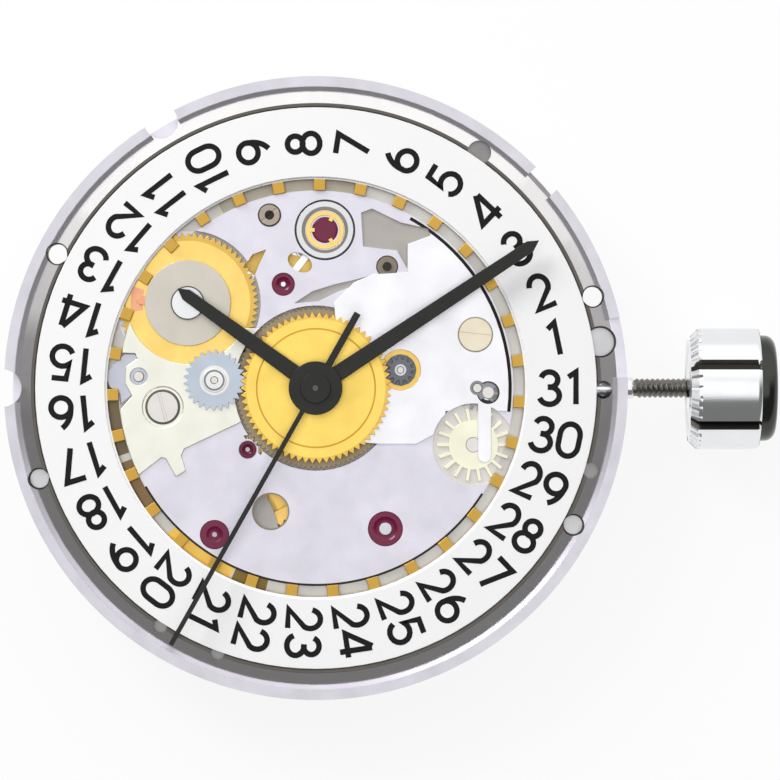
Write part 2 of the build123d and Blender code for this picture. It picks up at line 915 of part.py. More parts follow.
with BuildPart() as cannon_driving_wheel:
    toothed(driving_teeth, driving_module, driving_wheel_low, driving_wheel_top, land=0)
    disc(cannon_pipe_outer, driving_wheel_low, driving_wheel_top, mode=Mode.SUBTRACT)
    crossings(
        driving_arms,
        driving_arm_width,
        driving_hub_radius,
        driving_recess - driving_rim_width,
        driving_wheel_low,
        driving_wheel_top,
    )

# Minute wheel and its pinion, setting wheel, and the centre tube
minute_post_radius = 0.13
minute_pinion_top = upper_wheel_top + under_cover_gap

with BuildPart() as minute_wheel:
    toothed(
        minute_teeth,
        motion_module,
        minute_wheel_low,
        calendar_wheel_top,
        minute_centre,
        minute_phase,
    )
    leaves(
        minute_leaves,
        hour_module,
        calendar_wheel_top,
        minute_pinion_top,
        minute_centre,
        mesh_phase(centre, minute_centre, 0, hour_teeth, minute_leaves),
    )
    disc(
        minute_post_radius + fit_clearance,
        minute_wheel_low,
        minute_pinion_top,
        minute_centre,
        Mode.SUBTRACT,
    )

with BuildPart() as setting_wheel:
    leaves(
        setting_teeth,
        motion_module,
        minute_wheel_low,
        calendar_wheel_top,
        setting_centre,
        setting_phase,
    )
    disc(
        setting_post_radius + fit_clearance,
        minute_wheel_low,
        calendar_wheel_top,
        setting_centre,
        Mode.SUBTRACT,
    )

tube_bore = 0.15
tube_top = 0.75

with BuildPart() as centre_tube:
    ring(tube_radius, tube_bore, plate_back, tube_top)

# Hands: tapered blades with blunt points, and the cap over the seconds hand's hub
hand_hub_radius = 1.12
hour_hand_length = 7.14
minute_hand_length = 11.20
seconds_hand_length = 12.30
seconds_tail_length = 3.59
hour_hand_angle = 144.2
minute_hand_angle = 33.45
seconds_hand_angle = 240.6
hand_width = 0.70
hand_tip_width = 0.50
hand_point_length = 0.45
seconds_hand_width = 0.20
seconds_tail_width = 0.29
hour_hand_thickness = 0.15
seconds_hand_thickness = 0.10
seconds_hand_low = 1.10
seconds_cap_radius = 0.63
seconds_cap_height = 0.15
seconds_pin_radius = 0.125
hour_hand_top = hour_pipe_top - play
hour_hand_low = hour_hand_top - hour_hand_thickness
seconds_hand_top = seconds_hand_low + seconds_hand_thickness
seconds_cap_top = seconds_hand_top + seconds_cap_height


def blade(length, angle, width, tip_width, point, low, top):
    """Hand that tapers from its hub to a blunt point."""
    with BuildSketch(Plane.XY.offset(low)) as profile:
        with Locations(Location((0, 0, 0), (0, 0, angle))):
            Polygon(
                (0, -width / 2),
                (length - point, -tip_width / 2),
                (length, 0),
                (length - point, tip_width / 2),
                (0, width / 2),
                align=None,
            )
    extrude(profile.sketch, amount=top - low)


with BuildPart() as hour_hand:
    blade(
        hour_hand_length,
        hour_hand_angle,
        hand_width,
        hand_tip_width,
        hand_point_length,
        hour_hand_low,
        hour_hand_top,
    )
    disc(hand_hub_radius, hour_hand_low, hour_hand_top)
    disc(hour_pipe_outer, hour_hand_low, hour_hand_top, mode=Mode.SUBTRACT)

with BuildPart() as minute_hand:
    blade(
        minute_hand_length,
        minute_hand_angle,
        hand_width,
        hand_tip_width,
        hand_point_length,
        minute_hand_low,
        minute_hand_top,
    )
    disc(hand_hub_radius, minute_hand_low, minute_hand_top)
    disc(cannon_pipe_outer, minute_hand_low, minute_hand_top, mode=Mode.SUBTRACT)

with BuildPart() as seconds_hand:
    blade(
        seconds_hand_length,
        seconds_hand_angle,
        seconds_hand_width,
        seconds_hand_width,
        0,
        seconds_hand_low,
        seconds_hand_top,
    )
    blade(
        seconds_tail_length,
        seconds_hand_angle + 180,
        seconds_tail_width,
        seconds_tail_width,
        0,
        seconds_hand_low,
        seconds_hand_top,
    )
    disc(hand_hub_radius, seconds_hand_low, seconds_hand_top)
    disc(seconds_cap_radius, seconds_hand_top, seconds_cap_top)
    disc(seconds_pin_radius, seconds_hand_low, seconds_cap_top, mode=Mode.SUBTRACT)

# Jewels of the dial side, each with the hole of its pivot, and the balance's cap jewel
cap_radius = 0.55
cap_thickness = 0.10
shock_top = plateau + under_cover_gap
shock_recess_depth = 0.05
shock_low = plate_back + shock_recess_depth
shock_floor_thickness = 0.36
shock_seat = shock_low + shock_floor_thickness
pivot_radius = 0.10
barrel_pivot_radius = 0.26
escape_jewel_top = driving_floor - pivot_clearance
jewel_top = plateau - pivot_clearance
jewel_places = {
    "third": (third_centre, plateau - collar_floor_thickness, plateau, pivot_radius),
    "great": (great_centre, jewel_top - jewel_thickness, jewel_top, pivot_radius),
    "barrel": (barrel_centre, jewel_top - jewel_thickness, jewel_top, barrel_pivot_radius),
    "fork": (fork_centre, jewel_top - jewel_thickness, jewel_top, pivot_radius),
    "escape": (escape_centre, plate_back, escape_jewel_top, pivot_radius),
}

with BuildPart() as dial_side_jewels:
    for name, (at, low, top, pivot) in jewel_places.items():
        ring(jewel_radii[name], pivot + pivot_clearance, low, top, at)
    disc(cap_radius, shock_seat + pivot_clearance, shock_seat + cap_thickness, balance_centre)

# Screws and fixed posts of the dial side
screw_head_thickness = 0.14
slot_width = 0.10
slot_depth = 0.05
small_screw_centre = spot(269.3, 214.6)
small_screw_radius = 0.43
side_post_centre = spot(387.2, 266.1)
side_post_radius = 0.19


def slotted_screw(at, head, shank, low, head_low, head_top, slot_angle=0):
    """Flat-headed screw with a slot across its head."""
    disc(shank, low, head_low, at)
    disc(head, head_low, head_top, at)
    with BuildSketch(Plane.XY.offset(head_top - slot_depth)) as slot:
        with Locations(Location((*at, 0), (0, 0, slot_angle))):
            Rectangle(2 * head + overrun, slot_width)
    extrude(slot.sketch, amount=slot_depth + overrun, mode=Mode.SUBTRACT)


with BuildPart() as dial_side_screws:
    screw_low = cover_top - countersink_depth
    slotted_screw(
        cover_screw_centre,
        cover_screw_radius,
        screw_shank_radius,
        plateau,
        screw_low,
        screw_low + screw_head_thickness,
        -75,
    )
    slotted_screw(
        calendar_screw_centre,
        calendar_screw_radius,
        screw_shank_radius,
        plateau,
        screw_low,
        screw_low + screw_head_thickness,
        -6,
    )
    slotted_screw(
        small_screw_centre,
        small_screw_radius,
        screw_shank_radius,
        plateau,
        plateau + play,
        plateau + screw_head_thickness,
        40,
    )

    # Fixed posts that the wheels and levers turn on
    disc(minute_post_radius, minute_floor, minute_pinion_top, minute_centre)
    disc(setting_post_radius, minute_floor, cover_top - play, setting_centre)
    disc(
        intermediate_post_radius,
        calendar_floor,
        upper_wheel_top + intermediate_hub_height,
        intermediate_centre,
    )
    disc(jumper_post_radius, jumper_floor, cover_top + play, jumper_centre)
    disc(corrector_post_radius, corrector_floor, plateau, corrector_centre)
    disc(lever_post_radius, plateau, cover_top + play, lever_post_centre)
    disc(side_post_radius, plateau, cover_top, side_post_centre)
    disc(date_post_radius, calendar_floor, date_disc_top, date_wheel_centre)
    disc(
        date_head_radius,
        date_disc_top + pivot_clearance,
        date_disc_top + pivot_clearance + date_head_thickness,
        date_wheel_centre,
    )
    disc(date_post_radius, date_disc_top, date_disc_top + pivot_clearance, date_wheel_centre)

# Going train: arbors, pinions and wheels from the great wheel to the escape wheel
arbor_radius = 0.20
thin_arbor_radius = 0.14
train_arms = 5
train_arm_width = 0.30
train_hub_radius = 0.60
train_rim_width = 0.45
arbor_low = train_bridge_top + play
pivot_low = train_bridge_top - train_bridge_thickness / 2
third_phase = mesh_phase(centre, third_centre, 0, driving_teeth, third_leaves)
great_phase = mesh_phase(third_centre, great_centre, 0, third_leaves, great_teeth)
seconds_phase = mesh_phase(third_centre, centre, 0, third_teeth, seconds_leaves)
escape_phase = mesh_phase(centre, escape_centre, 0, seconds_teeth, escape_leaves)
barrel_phase = mesh_phase(great_centre, barrel_centre, 0, great_leaves, barrel_teeth)


def train_wheel(teeth, module, low, at, phase=0):
    """Brass wheel with arms and pointed teeth."""
    top = low + train_wheel_thickness
    toothed(teeth, module, low, top, at, phase, land=0)
    rim = module * (teeth / 2 - dedendum_share) - train_rim_width
    crossings(train_arms, train_arm_width, train_hub_radius, rim, low, top, at)


with BuildPart() as third_wheel:
    train_wheel(third_teeth, third_module, third_wheel_low, third_centre)
    leaves(
        third_leaves,
        driving_module,
        third_wheel_top,
        driving_wheel_top,
        third_centre,
        third_phase,
    )
    leaves(
        third_leaves,
        great_module,
        great_wheel_low - 2 * play,
        seconds_wheel_low - play,
        third_centre,
    )
    disc(arbor_radius, arbor_low, third_wheel_top, third_centre)
    disc(pivot_radius, pivot_low, plateau - pivot_clearance, third_centre)

with BuildPart() as seconds_wheel:
    train_wheel(seconds_teeth, seconds_module, seconds_wheel_low, centre)
    leaves(
        seconds_leaves,
        third_module,
        third_wheel_low - play,
        third_wheel_top + play,
        centre,
        seconds_phase,
    )
    disc(arbor_radius, arbor_low, third_wheel_low)
    disc(seconds_pin_radius, third_wheel_low, seconds_cap_top)
    disc(pivot_radius, pivot_low, arbor_low)

escape_tip_radius = 2.75
escape_root_share = 0.82
escape_heel_share = 0.97
escape_arms = 5
escape_arm_width = 0.22
escape_hub_radius = 0.45
escape_rim_width = 0.25
escape_pinion_top = seconds_wheel_top + under_cover_gap
escape_pinion_low = seconds_wheel_low - wheel_gap
escape_tooth_shares = [
    (0, 1.0),
    (0.16, escape_heel_share),
    (0.30, escape_root_share),
    (0.84, escape_root_share),
]

with BuildPart() as escape_wheel:
    escape_root = escape_tip_radius * escape_root_share
    sheet(
        [
            polar(escape_tip_radius * reach, (index + turn) * 360 / escape_teeth, escape_centre)
            for index in range(escape_teeth)
            for turn, reach in escape_tooth_shares
        ],
        escape_wheel_low,
        escape_wheel_top,
    )
    crossings(
        escape_arms,
        escape_arm_width,
        escape_hub_radius,
        escape_root - escape_rim_width,
        escape_wheel_low,
        escape_wheel_top,
        escape_centre,
    )
    leaves(
        escape_leaves,
        seconds_module,
        escape_pinion_low,
        escape_pinion_top,
        escape_centre,
        escape_phase,
    )
    disc(thin_arbor_radius, arbor_low, plate_back - under_cover_gap, escape_centre)
    disc(pivot_radius, pivot_low, escape_jewel_top - pivot_clearance, escape_centre)

with BuildPart() as great_wheel:
    train_wheel(great_teeth, great_module, great_wheel_low, great_centre, great_phase)
    leaves(great_leaves, barrel_module, barrel_teeth_low, great_wheel_low, great_centre)
    disc(arbor_radius, arbor_low, jewel_top - jewel_thickness - play, great_centre)
    disc(pivot_radius, pivot_low, jewel_top, great_centre)

# Barrel with its cover, mainspring and arbor
drum_radius = 5.10
drum_wall = 0.20
drum_floor_thickness = 0.08
barrel_core_radius = 0.90
barrel_journal_radius = 0.60
barrel_shoulder_radius = 0.50
ratchet_bore = 0.45
mainspring_inner = 2.90
drum_low = barrel_bridge_top + under_cover_gap
drum_inner = drum_radius - drum_wall
barrel_cover_low = drum_low
barrel_cover_top = drum_low + drum_floor_thickness
drum_floor_low = barrel_teeth_top - drum_floor_thickness

with BuildPart() as barrel_drum:
    toothed(
        barrel_teeth,
        barrel_module,
        barrel_teeth_low,
        barrel_teeth_top,
        barrel_centre,
        barrel_phase,
        land=0,
    )
    disc(drum_radius, drum_low, barrel_teeth_low, barrel_centre)
    disc(drum_inner, drum_low, drum_floor_low, barrel_centre, Mode.SUBTRACT)
    disc(
        barrel_core_radius + fit_clearance,
        drum_floor_low,
        barrel_teeth_top,
        barrel_centre,
        Mode.SUBTRACT,
    )

with BuildPart() as barrel_cover:
    ring(
        drum_inner,
        barrel_core_radius + fit_clearance,
        barrel_cover_low,
        barrel_cover_top,
        barrel_centre,
    )

with BuildPart() as mainspring:
    ring(
        drum_inner - play,
        mainspring_inner,
        barrel_cover_top + play,
        drum_floor_low - play,
        barrel_centre,
    )

with BuildPart() as barrel_arbor:
    disc(barrel_core_radius, drum_low, barrel_teeth_top + play, barrel_centre)
    disc(
        barrel_shoulder_radius,
        barrel_teeth_top + play,
        jewel_top - jewel_thickness - play,
        barrel_centre,
    )
    disc(barrel_pivot_radius, plate_back, jewel_top, barrel_centre)
    disc(barrel_journal_radius, barrel_bridge_low, drum_low, barrel_centre)
    disc(ratchet_bore, ratchet_low, barrel_bridge_low, barrel_centre)

# Winding wheels on the barrel bridge, and the click
crown_wheel_bore = 0.80
click_pivot_reach = 4.70
click_tip_reach = 3.95
click_pivot_angle = -60
click_tip_angle = -38
click_hub_radius = 0.45
click_tip_radius = 0.20
click_pin_radius = 0.20
click_centre = polar(click_pivot_reach, click_pivot_angle, barrel_centre)

with BuildPart() as ratchet_wheel:
    toothed(ratchet_teeth, winding_module, ratchet_low, ratchet_top, barrel_centre, land=0)
    disc(ratchet_bore, ratchet_low, ratchet_top, barrel_centre, Mode.SUBTRACT)

with BuildPart() as crown_wheel:
    toothed(
        crown_wheel_teeth,
        winding_module,
        ratchet_low,
        ratchet_top,
        crown_wheel_centre,
        mesh_phase(barrel_centre, crown_wheel_centre, 0, ratchet_teeth, crown_wheel_teeth),
        land=0,
    )
    disc(
        crown_wheel_bore + fit_clearance,
        ratchet_low,
        ratchet_top,
        crown_wheel_centre,
        Mode.SUBTRACT,
    )

with BuildPart() as click:
    link(
        [
            (click_centre, click_hub_radius),
            (polar(click_tip_reach, click_tip_angle, barrel_centre), click_tip_radius),
        ],
        ratchet_low,
        ratchet_top,
    )
    disc(
        click_pin_radius + fit_clearance,
        ratchet_low,
        ratchet_top,
        click_centre,
        Mode.SUBTRACT,
    )

# Escapement: fork with its stones, the fork's bridge, the balance and its roller
fork_width = 0.30
fork_hub_radius = 0.32
fork_top = escape_wheel_top + play
fork_low = escape_wheel_low + play
stone_reach = 2.95
stone_turn = 31.75
stone_length = 0.34
stone_width = 0.22
fork_slot_width = 0.16
fork_end_radius = 0.28
roller_radius = 0.65
roller_pin_reach = 0.50
roller_pin_radius = 0.06
fork_length = dist(fork_centre, balance_centre) - roller_pin_reach
fork_angle = direction(fork_centre, balance_centre)
stone_angles = [
    direction(escape_centre, fork_centre) + turn for turn in (-stone_turn, stone_turn)
]
stone_centres = [polar(stone_reach, angle, escape_centre) for angle in stone_angles]
pallet_bridge_gap = 0.10
pallet_bridge_thickness = 0.12
pallet_bridge_top = fork_low - pallet_bridge_gap
pallet_bridge_low = pallet_bridge_top - pallet_bridge_thickness
pallet_feet = (spot(241.5, 252.0), spot(334.8, 274.9))
pallet_foot_radius = 0.45
bridge_jewel_radius = 0.35

with BuildPart() as pallet_fork:
    fork_end = polar(fork_length, fork_angle, fork_centre)
    disc(fork_hub_radius, fork_low, fork_top, fork_centre)
    bar(fork_centre, fork_end, fork_width, fork_low, fork_top)
    disc(fork_end_radius, fork_low, fork_top, fork_end)
    for stone_centre in stone_centres:
        bar(fork_centre, stone_centre, fork_width, fork_low, fork_top)
    for stone_centre, angle in zip(stone_centres, stone_angles):
        with BuildSketch(Plane.XY.offset(fork_low)) as seat:
            with Locations(Location((*stone_centre, 0), (0, 0, angle))):
                Rectangle(stone_length, stone_width)
        extrude(seat.sketch, amount=fork_top - fork_low, mode=Mode.SUBTRACT)
    bar(
        fork_end,
        polar(fork_end_radius + overrun, fork_angle, fork_end),
        fork_slot_width,
        fork_low,
        fork_top,
        Mode.SUBTRACT,
    )
    disc(
        thin_arbor_radius,
        pallet_bridge_top + play,
        jewel_top - jewel_thickness - play,
        fork_centre,
    )
    disc(pivot_radius, pallet_bridge_low, jewel_top, fork_centre)

with BuildPart() as pallet_stones:
    for stone_centre, angle in zip(stone_centres, stone_angles):
        with BuildSketch(Plane.XY.offset(fork_low)) as stone:
            with Locations(Location((*stone_centre, 0), (0, 0, angle))):
                Rectangle(stone_length, stone_width)
        extrude(stone.sketch, amount=fork_top - fork_low)

with BuildPart() as pallet_bridge:
    link(
        [(foot, pallet_foot_radius) for foot in pallet_feet] + [(fork_centre, pallet_foot_radius)],
        pallet_bridge_low,
        pallet_bridge_top,
    )
    for foot in pallet_feet:
        disc(pallet_foot_radius, pallet_bridge_top, plate_back, foot)
    disc(
        bridge_jewel_radius - wheel_gap,
        pallet_bridge_low,
        pallet_bridge_top,
        fork_centre,
        Mode.SUBTRACT,
    )

balance_outer = 4.40
balance_inner = 4.00
balance_rim_thickness = 0.28
balance_rim_gap = 0.08
balance_arm_thickness = 0.10
balance_arm_width = 0.45
balance_hub_radius = 0.55
balance_arms = 3
staff_radius = 0.15
staff_pivot_radius = 0.06
roller_thickness = 0.12
hairspring_height = 0.10
hairspring_gap = 0.06
balance_rim_top = pallet_bridge_low - balance_rim_gap
balance_rim_low = balance_rim_top - balance_rim_thickness
balance_arm_top = balance_rim_top - balance_rim_thickness / 3
balance_arm_low = balance_arm_top - balance_arm_thickness
hairspring_top = balance_rim_low - hairspring_gap - play
hairspring_low = hairspring_top - hairspring_height
collet_radius = 0.42
cock_gap = 0.04
cock_thickness = 0.25
cock_top = hairspring_low - cock_gap
cock_low = cock_top - cock_thickness
roller_top = fork_low - wheel_gap
roller_low = roller_top - roller_thickness
shock_inner_radius = 0.85

with BuildPart() as balance_wheel:
    ring(balance_outer, balance_inner, balance_rim_low, balance_rim_top, balance_centre)
    with BuildSketch(Plane.XY.offset(balance_arm_low)) as arms:
        with Locations(balance_centre):
            Circle(balance_hub_radius)
            with PolarLocations((balance_inner + play) / 2, balance_arms, fork_angle):
                Rectangle(balance_inner + play, balance_arm_width)
    extrude(arms.sketch, amount=balance_arm_thickness)
    disc(collet_radius, hairspring_low, balance_arm_low, balance_centre)
    disc(staff_radius, cock_top + play, shock_low - play, balance_centre)
    disc(staff_pivot_radius, cock_top - cock_thickness / 2, shock_seat, balance_centre)

with BuildPart() as roller:
    disc(roller_radius, roller_low, roller_top, balance_centre)
    disc(staff_radius, roller_low, roller_top, balance_centre, Mode.SUBTRACT)
    disc(
        roller_pin_radius,
        roller_top,
        fork_top + play,
        polar(roller_pin_reach, fork_angle + 180, balance_centre),
    )

# Hairspring: a flat ribbon wound in half turns of steadily growing radius
hairspring_start = 0.48
hairspring_pitch = 0.50
hairspring_ribbon = 0.06
hairspring_loops = 4
cock_foot = spot(449.4, 173.7)
cock_foot_radius = 0.90
cock_head_radius = 1.50
stud_radius = 0.12
hairspring_turn = direction(balance_centre, cock_foot)


def spiral_ends(start, pitch, loops):
    """Signed crossings of a spiral of half turns with its own axis."""
    return [(start + index * pitch / 2) * (-1) ** index for index in range(2 * loops + 1)]


def spiral_arcs(ends):
    """Half circles through the crossings, alternately above and below the axis."""
    for index, (near, far) in enumerate(zip(ends, ends[1:])):
        side = (-1) ** index
        ThreePointArc((near, 0), ((near + far) / 2, side * abs(far - near) / 2), (far, 0))


def spiral_gap(start, pitch, loops, ribbon, samples=30):
    """Least gap between a spiral's neighbouring turns, measured on points."""
    ends = spiral_ends(start, pitch, loops)
    points = []
    for index, (near, far) in enumerate(zip(ends, ends[1:])):
        middle = (near + far) / 2
        begin = 180 * (index % 2)
        for step in range(samples):
            turn = begin + 180 * step / samples
            points.append(polar(abs(far - near) / 2, turn, (middle, 0)))
    return min(
        dist(points[first], points[second])
        for first in range(len(points))
        for second in range(first + samples, len(points))
    ) - ribbon


with BuildPart() as hairspring:
    with BuildSketch(Plane.XY.offset(hairspring_low)) as ribbon:
        with Locations(Location((*balance_centre, 0), (0, 0, hairspring_turn))):
            with BuildSketch(Plane.XY, mode=Mode.PRIVATE) as spiral:
                outer, inner = [
                    spiral_ends(
                        hairspring_start + side * hairspring_ribbon / 2,
                        hairspring_pitch,
                        hairspring_loops,
                    )
                    for side in (1, -1)
                ]
                with BuildLine():
                    spiral_arcs(outer)
                    Line((outer[-1], 0), (inner[-1], 0))
                    spiral_arcs(inner)
                    Line((outer[0], 0), (inner[0], 0))
                make_face()
            add(spiral.sketch)
    extrude(ribbon.sketch, amount=hairspring_height)
hairspring_least_gap = spiral_gap(
    hairspring_start, hairspring_pitch, hairspring_loops, hairspring_ribbon
)
print("hairspring least gap to itself, mm:", round(hairspring_least_gap, 3))

# Balance cock with the hairspring's stud, the regulator and the shock settings
cock_shock_radius = 0.90
cock_shock_inner = 0.62
regulator_thickness = 0.08
regulator_outer = 1.30
regulator_reach = 3.00
regulator_width = 0.40
regulator_angle = 100
stud_end = spiral_ends(hairspring_start, hairspring_pitch, hairspring_loops)[-1]
stud_centre = polar(
    stud_radius,
    hairspring_turn + 90,
    polar(stud_end, hairspring_turn, balance_centre),
)
regulator_top = cock_low - pivot_clearance
regulator_low = regulator_top - regulator_thickness

with BuildPart() as balance_cock:
    link(
        [(balance_centre, cock_head_radius), (cock_foot, cock_foot_radius)],
        cock_low,
        cock_top,
    )
    disc(cock_foot_radius, cock_top, plate_back, cock_foot)
    bar(balance_centre, stud_centre, 4 * stud_radius, cock_low, cock_top)
    disc(stud_radius, cock_top, hairspring_top, stud_centre)
    disc(cock_shock_radius, cock_low, cock_top, balance_centre, Mode.SUBTRACT)

with BuildPart() as regulator:
    disc(regulator_outer, regulator_low, regulator_top, balance_centre)
    bar(
        balance_centre,
        polar(regulator_reach, regulator_angle, balance_centre),
        regulator_width,
        regulator_low,
        regulator_top,
    )
    disc(
        cock_shock_radius + fit_clearance,
        regulator_low,
        regulator_top,
        balance_centre,
        Mode.SUBTRACT,
    )

cock_cap_radius = 0.42
shock_spring_outer = 0.80
shock_spring_inner = 0.62
shock_spring_thickness = 0.04
shock_tab_width = 0.16
shock_tab_reach = 0.42
shock_tabs = 3
cock_setting_top = cock_top - play
cock_setting_low = regulator_low - play
cock_seat = cock_setting_top - cock_thickness / 2

with BuildPart() as shock_settings:
    ring(shock_radius, shock_inner_radius, shock_low, shock_top, balance_centre)
    disc(shock_inner_radius, shock_low, shock_seat, balance_centre)
    disc(staff_pivot_radius + pivot_clearance, shock_low, shock_seat, balance_centre, Mode.SUBTRACT)
    ring(cock_shock_radius, cock_shock_inner, cock_setting_low, cock_setting_top, balance_centre)
    disc(cock_shock_inner, cock_seat, cock_setting_top, balance_centre)
    disc(
        staff_pivot_radius + pivot_clearance,
        cock_seat,
        cock_setting_top,
        balance_centre,
        Mode.SUBTRACT,
    )

with BuildPart() as shock_springs:
    spring_low = shock_seat + cap_thickness
    ring(
        shock_spring_outer,
        shock_spring_inner,
        spring_low,
        spring_low + shock_spring_thickness,
        balance_centre,
    )
    with BuildSketch(Plane.XY.offset(spring_low)) as tabs:
        with Locations(balance_centre):
            with PolarLocations((shock_tab_reach + shock_spring_outer) / 2, shock_tabs, 60):
                Rectangle(shock_spring_outer - shock_tab_reach - play, shock_tab_width)
    extrude(tabs.sketch, amount=shock_spring_thickness)

# Bridges of the train side
train_posts = (spot(104.1, 376.1), spot(118.3, 569.0), spot(158.8, 230.8))
train_post_radius = 0.70
train_bridge_margin = 0.90
balance_cutout = 4.65
barrel_cutout = 5.70
screw_radius = 0.55
screw_height = 0.14
rotor_post_radius = 0.55

with BuildPart() as train_bridge:
    with BuildSketch(Plane.XY.offset(train_bridge_low)) as outline:
        for at in (*train_posts, great_centre, centre, escape_centre):
            with Locations(at):
                Circle(train_bridge_margin)
        make_hull()
        with Locations(balance_centre):
            Circle(balance_cutout, mode=Mode.SUBTRACT)
        with Locations(barrel_centre):
            Circle(barrel_cutout, mode=Mode.SUBTRACT)
    extrude(outline.sketch, amount=train_bridge_thickness)
    for at in train_posts:
        disc(train_post_radius, train_bridge_top, plate_back, at)
    for at in (third_centre, great_centre, escape_centre, centre):
        disc(bridge_jewel_radius, pivot_low, train_bridge_top, at, Mode.SUBTRACT)

bridge_overlap = 0.20
barrel_bridge_margin = 0.85
crown_wheel_margin = 0.35
barrel_foot_places = ((0.77, 247.45), (0.97, -20), (1.56, 10.78))
barrel_feet = [polar(wall_inner - inset, angle) for inset, angle in barrel_foot_places]
barrel_foot_radius = 1.40

with BuildPart() as barrel_bridge:
    with BuildSketch(Plane.XY.offset(barrel_bridge_low)) as outline:
        with Locations(barrel_centre):
            Circle(drum_radius + barrel_bridge_margin)
        with Locations(crown_wheel_centre):
            Circle(tip_radius(crown_wheel_teeth, winding_module) + crown_wheel_margin)
        for at in barrel_feet:
            with Locations(at):
                Circle(barrel_foot_radius)
        make_hull()
        Circle(wall_inner + bridge_overlap, mode=Mode.INTERSECT)
        Circle(rotor_post_radius + 4 * recess_clearance, mode=Mode.SUBTRACT)
        with Locations(barrel_centre):
            Circle(barrel_journal_radius + fit_clearance, mode=Mode.SUBTRACT)
        with Locations(reduction_centre):
            Circle(thin_arbor_radius + fit_clearance, mode=Mode.SUBTRACT)
    extrude(outline.sketch, amount=barrel_bridge_thickness)
    block(
        (winding_pocket_start, -winding_pocket_half),
        (stem_block_start, winding_pocket_half),
        barrel_bridge_low,
        barrel_bridge_top,
        Mode.SUBTRACT,
    )

automatic_feet = (spot(135.0, 483.3), spot(144.5, 335.6))
automatic_margin = 0.95
automatic_top = barrel_bridge_low - under_cover_gap
automatic_low = rotor_wheel_top + play
ratchet_opening = tip_radius(ratchet_teeth, winding_module) + recess_clearance
reduction_hole = tip_radius(reduction_leaves, winding_module) + recess_clearance
reverser_arbor_radius = 0.20
foot_pillar_radius = 0.60

with BuildPart() as automatic_bridge:
    with BuildSketch(Plane.XY.offset(automatic_low)) as outline:
        for at in (*automatic_feet, first_reverser_centre, second_reverser_centre):
            with Locations(at):
                Circle(automatic_margin)
        make_hull()
        with Locations(barrel_centre):
            Circle(ratchet_opening, mode=Mode.SUBTRACT)
        with Locations(reduction_centre):
            Circle(reduction_hole, mode=Mode.SUBTRACT)
        with Locations(first_reverser_centre, second_reverser_centre):
            Circle(reverser_arbor_radius + fit_clearance, mode=Mode.SUBTRACT)
    extrude(outline.sketch, amount=automatic_top - automatic_low)
    for at in automatic_feet:
        disc(foot_pillar_radius, automatic_top, train_bridge_low, at)

# Automatic winding: reversers, reduction wheel, rotor with its gear, post and balls
first_reverser_phase = mesh_phase(centre, first_reverser_centre, 0, rotor_teeth, reverser_teeth)
reverser_centres = (first_reverser_centre, second_reverser_centre)
reverser_phases = (
    first_reverser_phase,
    mesh_phase(
        first_reverser_centre,
        second_reverser_centre,
        first_reverser_phase,
        reverser_teeth,
        reverser_teeth,
    ),
)


def reverser(at, phase):
    """Reversing wheel with the arbor that runs in the automatic bridge."""
    toothed(reverser_teeth, rotor_module, rotor_wheel_low, rotor_wheel_top, at, phase)
    disc(reverser_arbor_radius, rotor_wheel_top, automatic_top, at)


with BuildPart() as first_reverser:
    reverser(reverser_centres[0], reverser_phases[0])

with BuildPart() as second_reverser:
    reverser(reverser_centres[1], reverser_phases[1])

with BuildPart() as reduction_wheel:
    toothed(
        reduction_teeth,
        rotor_module,
        rotor_wheel_low,
        rotor_wheel_top,
        reduction_centre,
        mesh_phase(
            first_reverser_centre,
            reduction_centre,
            first_reverser_phase,
            reverser_teeth,
            reduction_teeth,
        ),
    )
    leaves(
        reduction_leaves,
        winding_module,
        ratchet_low - play,
        ratchet_top + pivot_clearance,
        reduction_centre,
        mesh_phase(barrel_centre, reduction_centre, 0, ratchet_teeth, reduction_leaves),
    )
    disc(arbor_radius, rotor_wheel_top, ratchet_low, reduction_centre)
    disc(thin_arbor_radius, ratchet_top, barrel_bridge_top - play, reduction_centre)

bearing_inner_radius = 0.88
ball_radius = 0.16
ball_sides = 10
ball_count = 7
bearing_outer_bore = 1.25
bearing_outer_radius = 1.60
bearing_top = rotor_wheel_top
bearing_height = 0.44
bearing_low = bearing_top - bearing_height
rotor_head_height = 0.12
rotor_plate_thickness = 0.20
rotor_plate_gap = 0.05
rotor_plate_low = bearing_low + rotor_plate_gap
rotor_plate_top = rotor_plate_low + rotor_plate_thickness
rotor_weight_gap = 0.05
rotor_weight_height = 0.75
rotor_weight_width = 2.20
rotor_edge_inset = 0.20
rotor_weight_top = ratchet_low - rotor_weight_gap
rotor_weight_outer = casing_radius - rotor_edge_inset
rotor_plate_outer = rotor_weight_outer - rotor_weight_width
rotor_hub_radius = 2.60
rotor_opening_inner = 3.60
rotor_opening_inset = 1.60
rotor_opening_outer = rotor_plate_outer - rotor_opening_inset
rotor_spokes = 4
rotor_spoke_width = 1.60
rotor_half_angle = 92
rotor_angle = -90
ball_reach = (bearing_inner_radius + bearing_outer_bore) / 2

with BuildPart() as rotor_bearing:
    disc(rotor_post_radius, bearing_low, train_bridge_low)
    ring(bearing_inner_radius, rotor_post_radius, bearing_low, bearing_top)
    disc(bearing_inner_radius, bearing_low - rotor_head_height, bearing_low)
    with BuildSketch(Plane.XY.offset((bearing_low + bearing_top) / 2 - ball_radius)) as balls:
        with PolarLocations(ball_reach, ball_count):
            RegularPolygon(ball_radius, ball_sides)
    extrude(balls.sketch, amount=2 * ball_radius)

with BuildPart() as rotor_gear:
    toothed(rotor_teeth, rotor_module, rotor_wheel_low, rotor_wheel_top)
    disc(bearing_outer_radius, bearing_low, rotor_wheel_low)
    disc(bearing_outer_bore, bearing_low, bearing_top, mode=Mode.SUBTRACT)


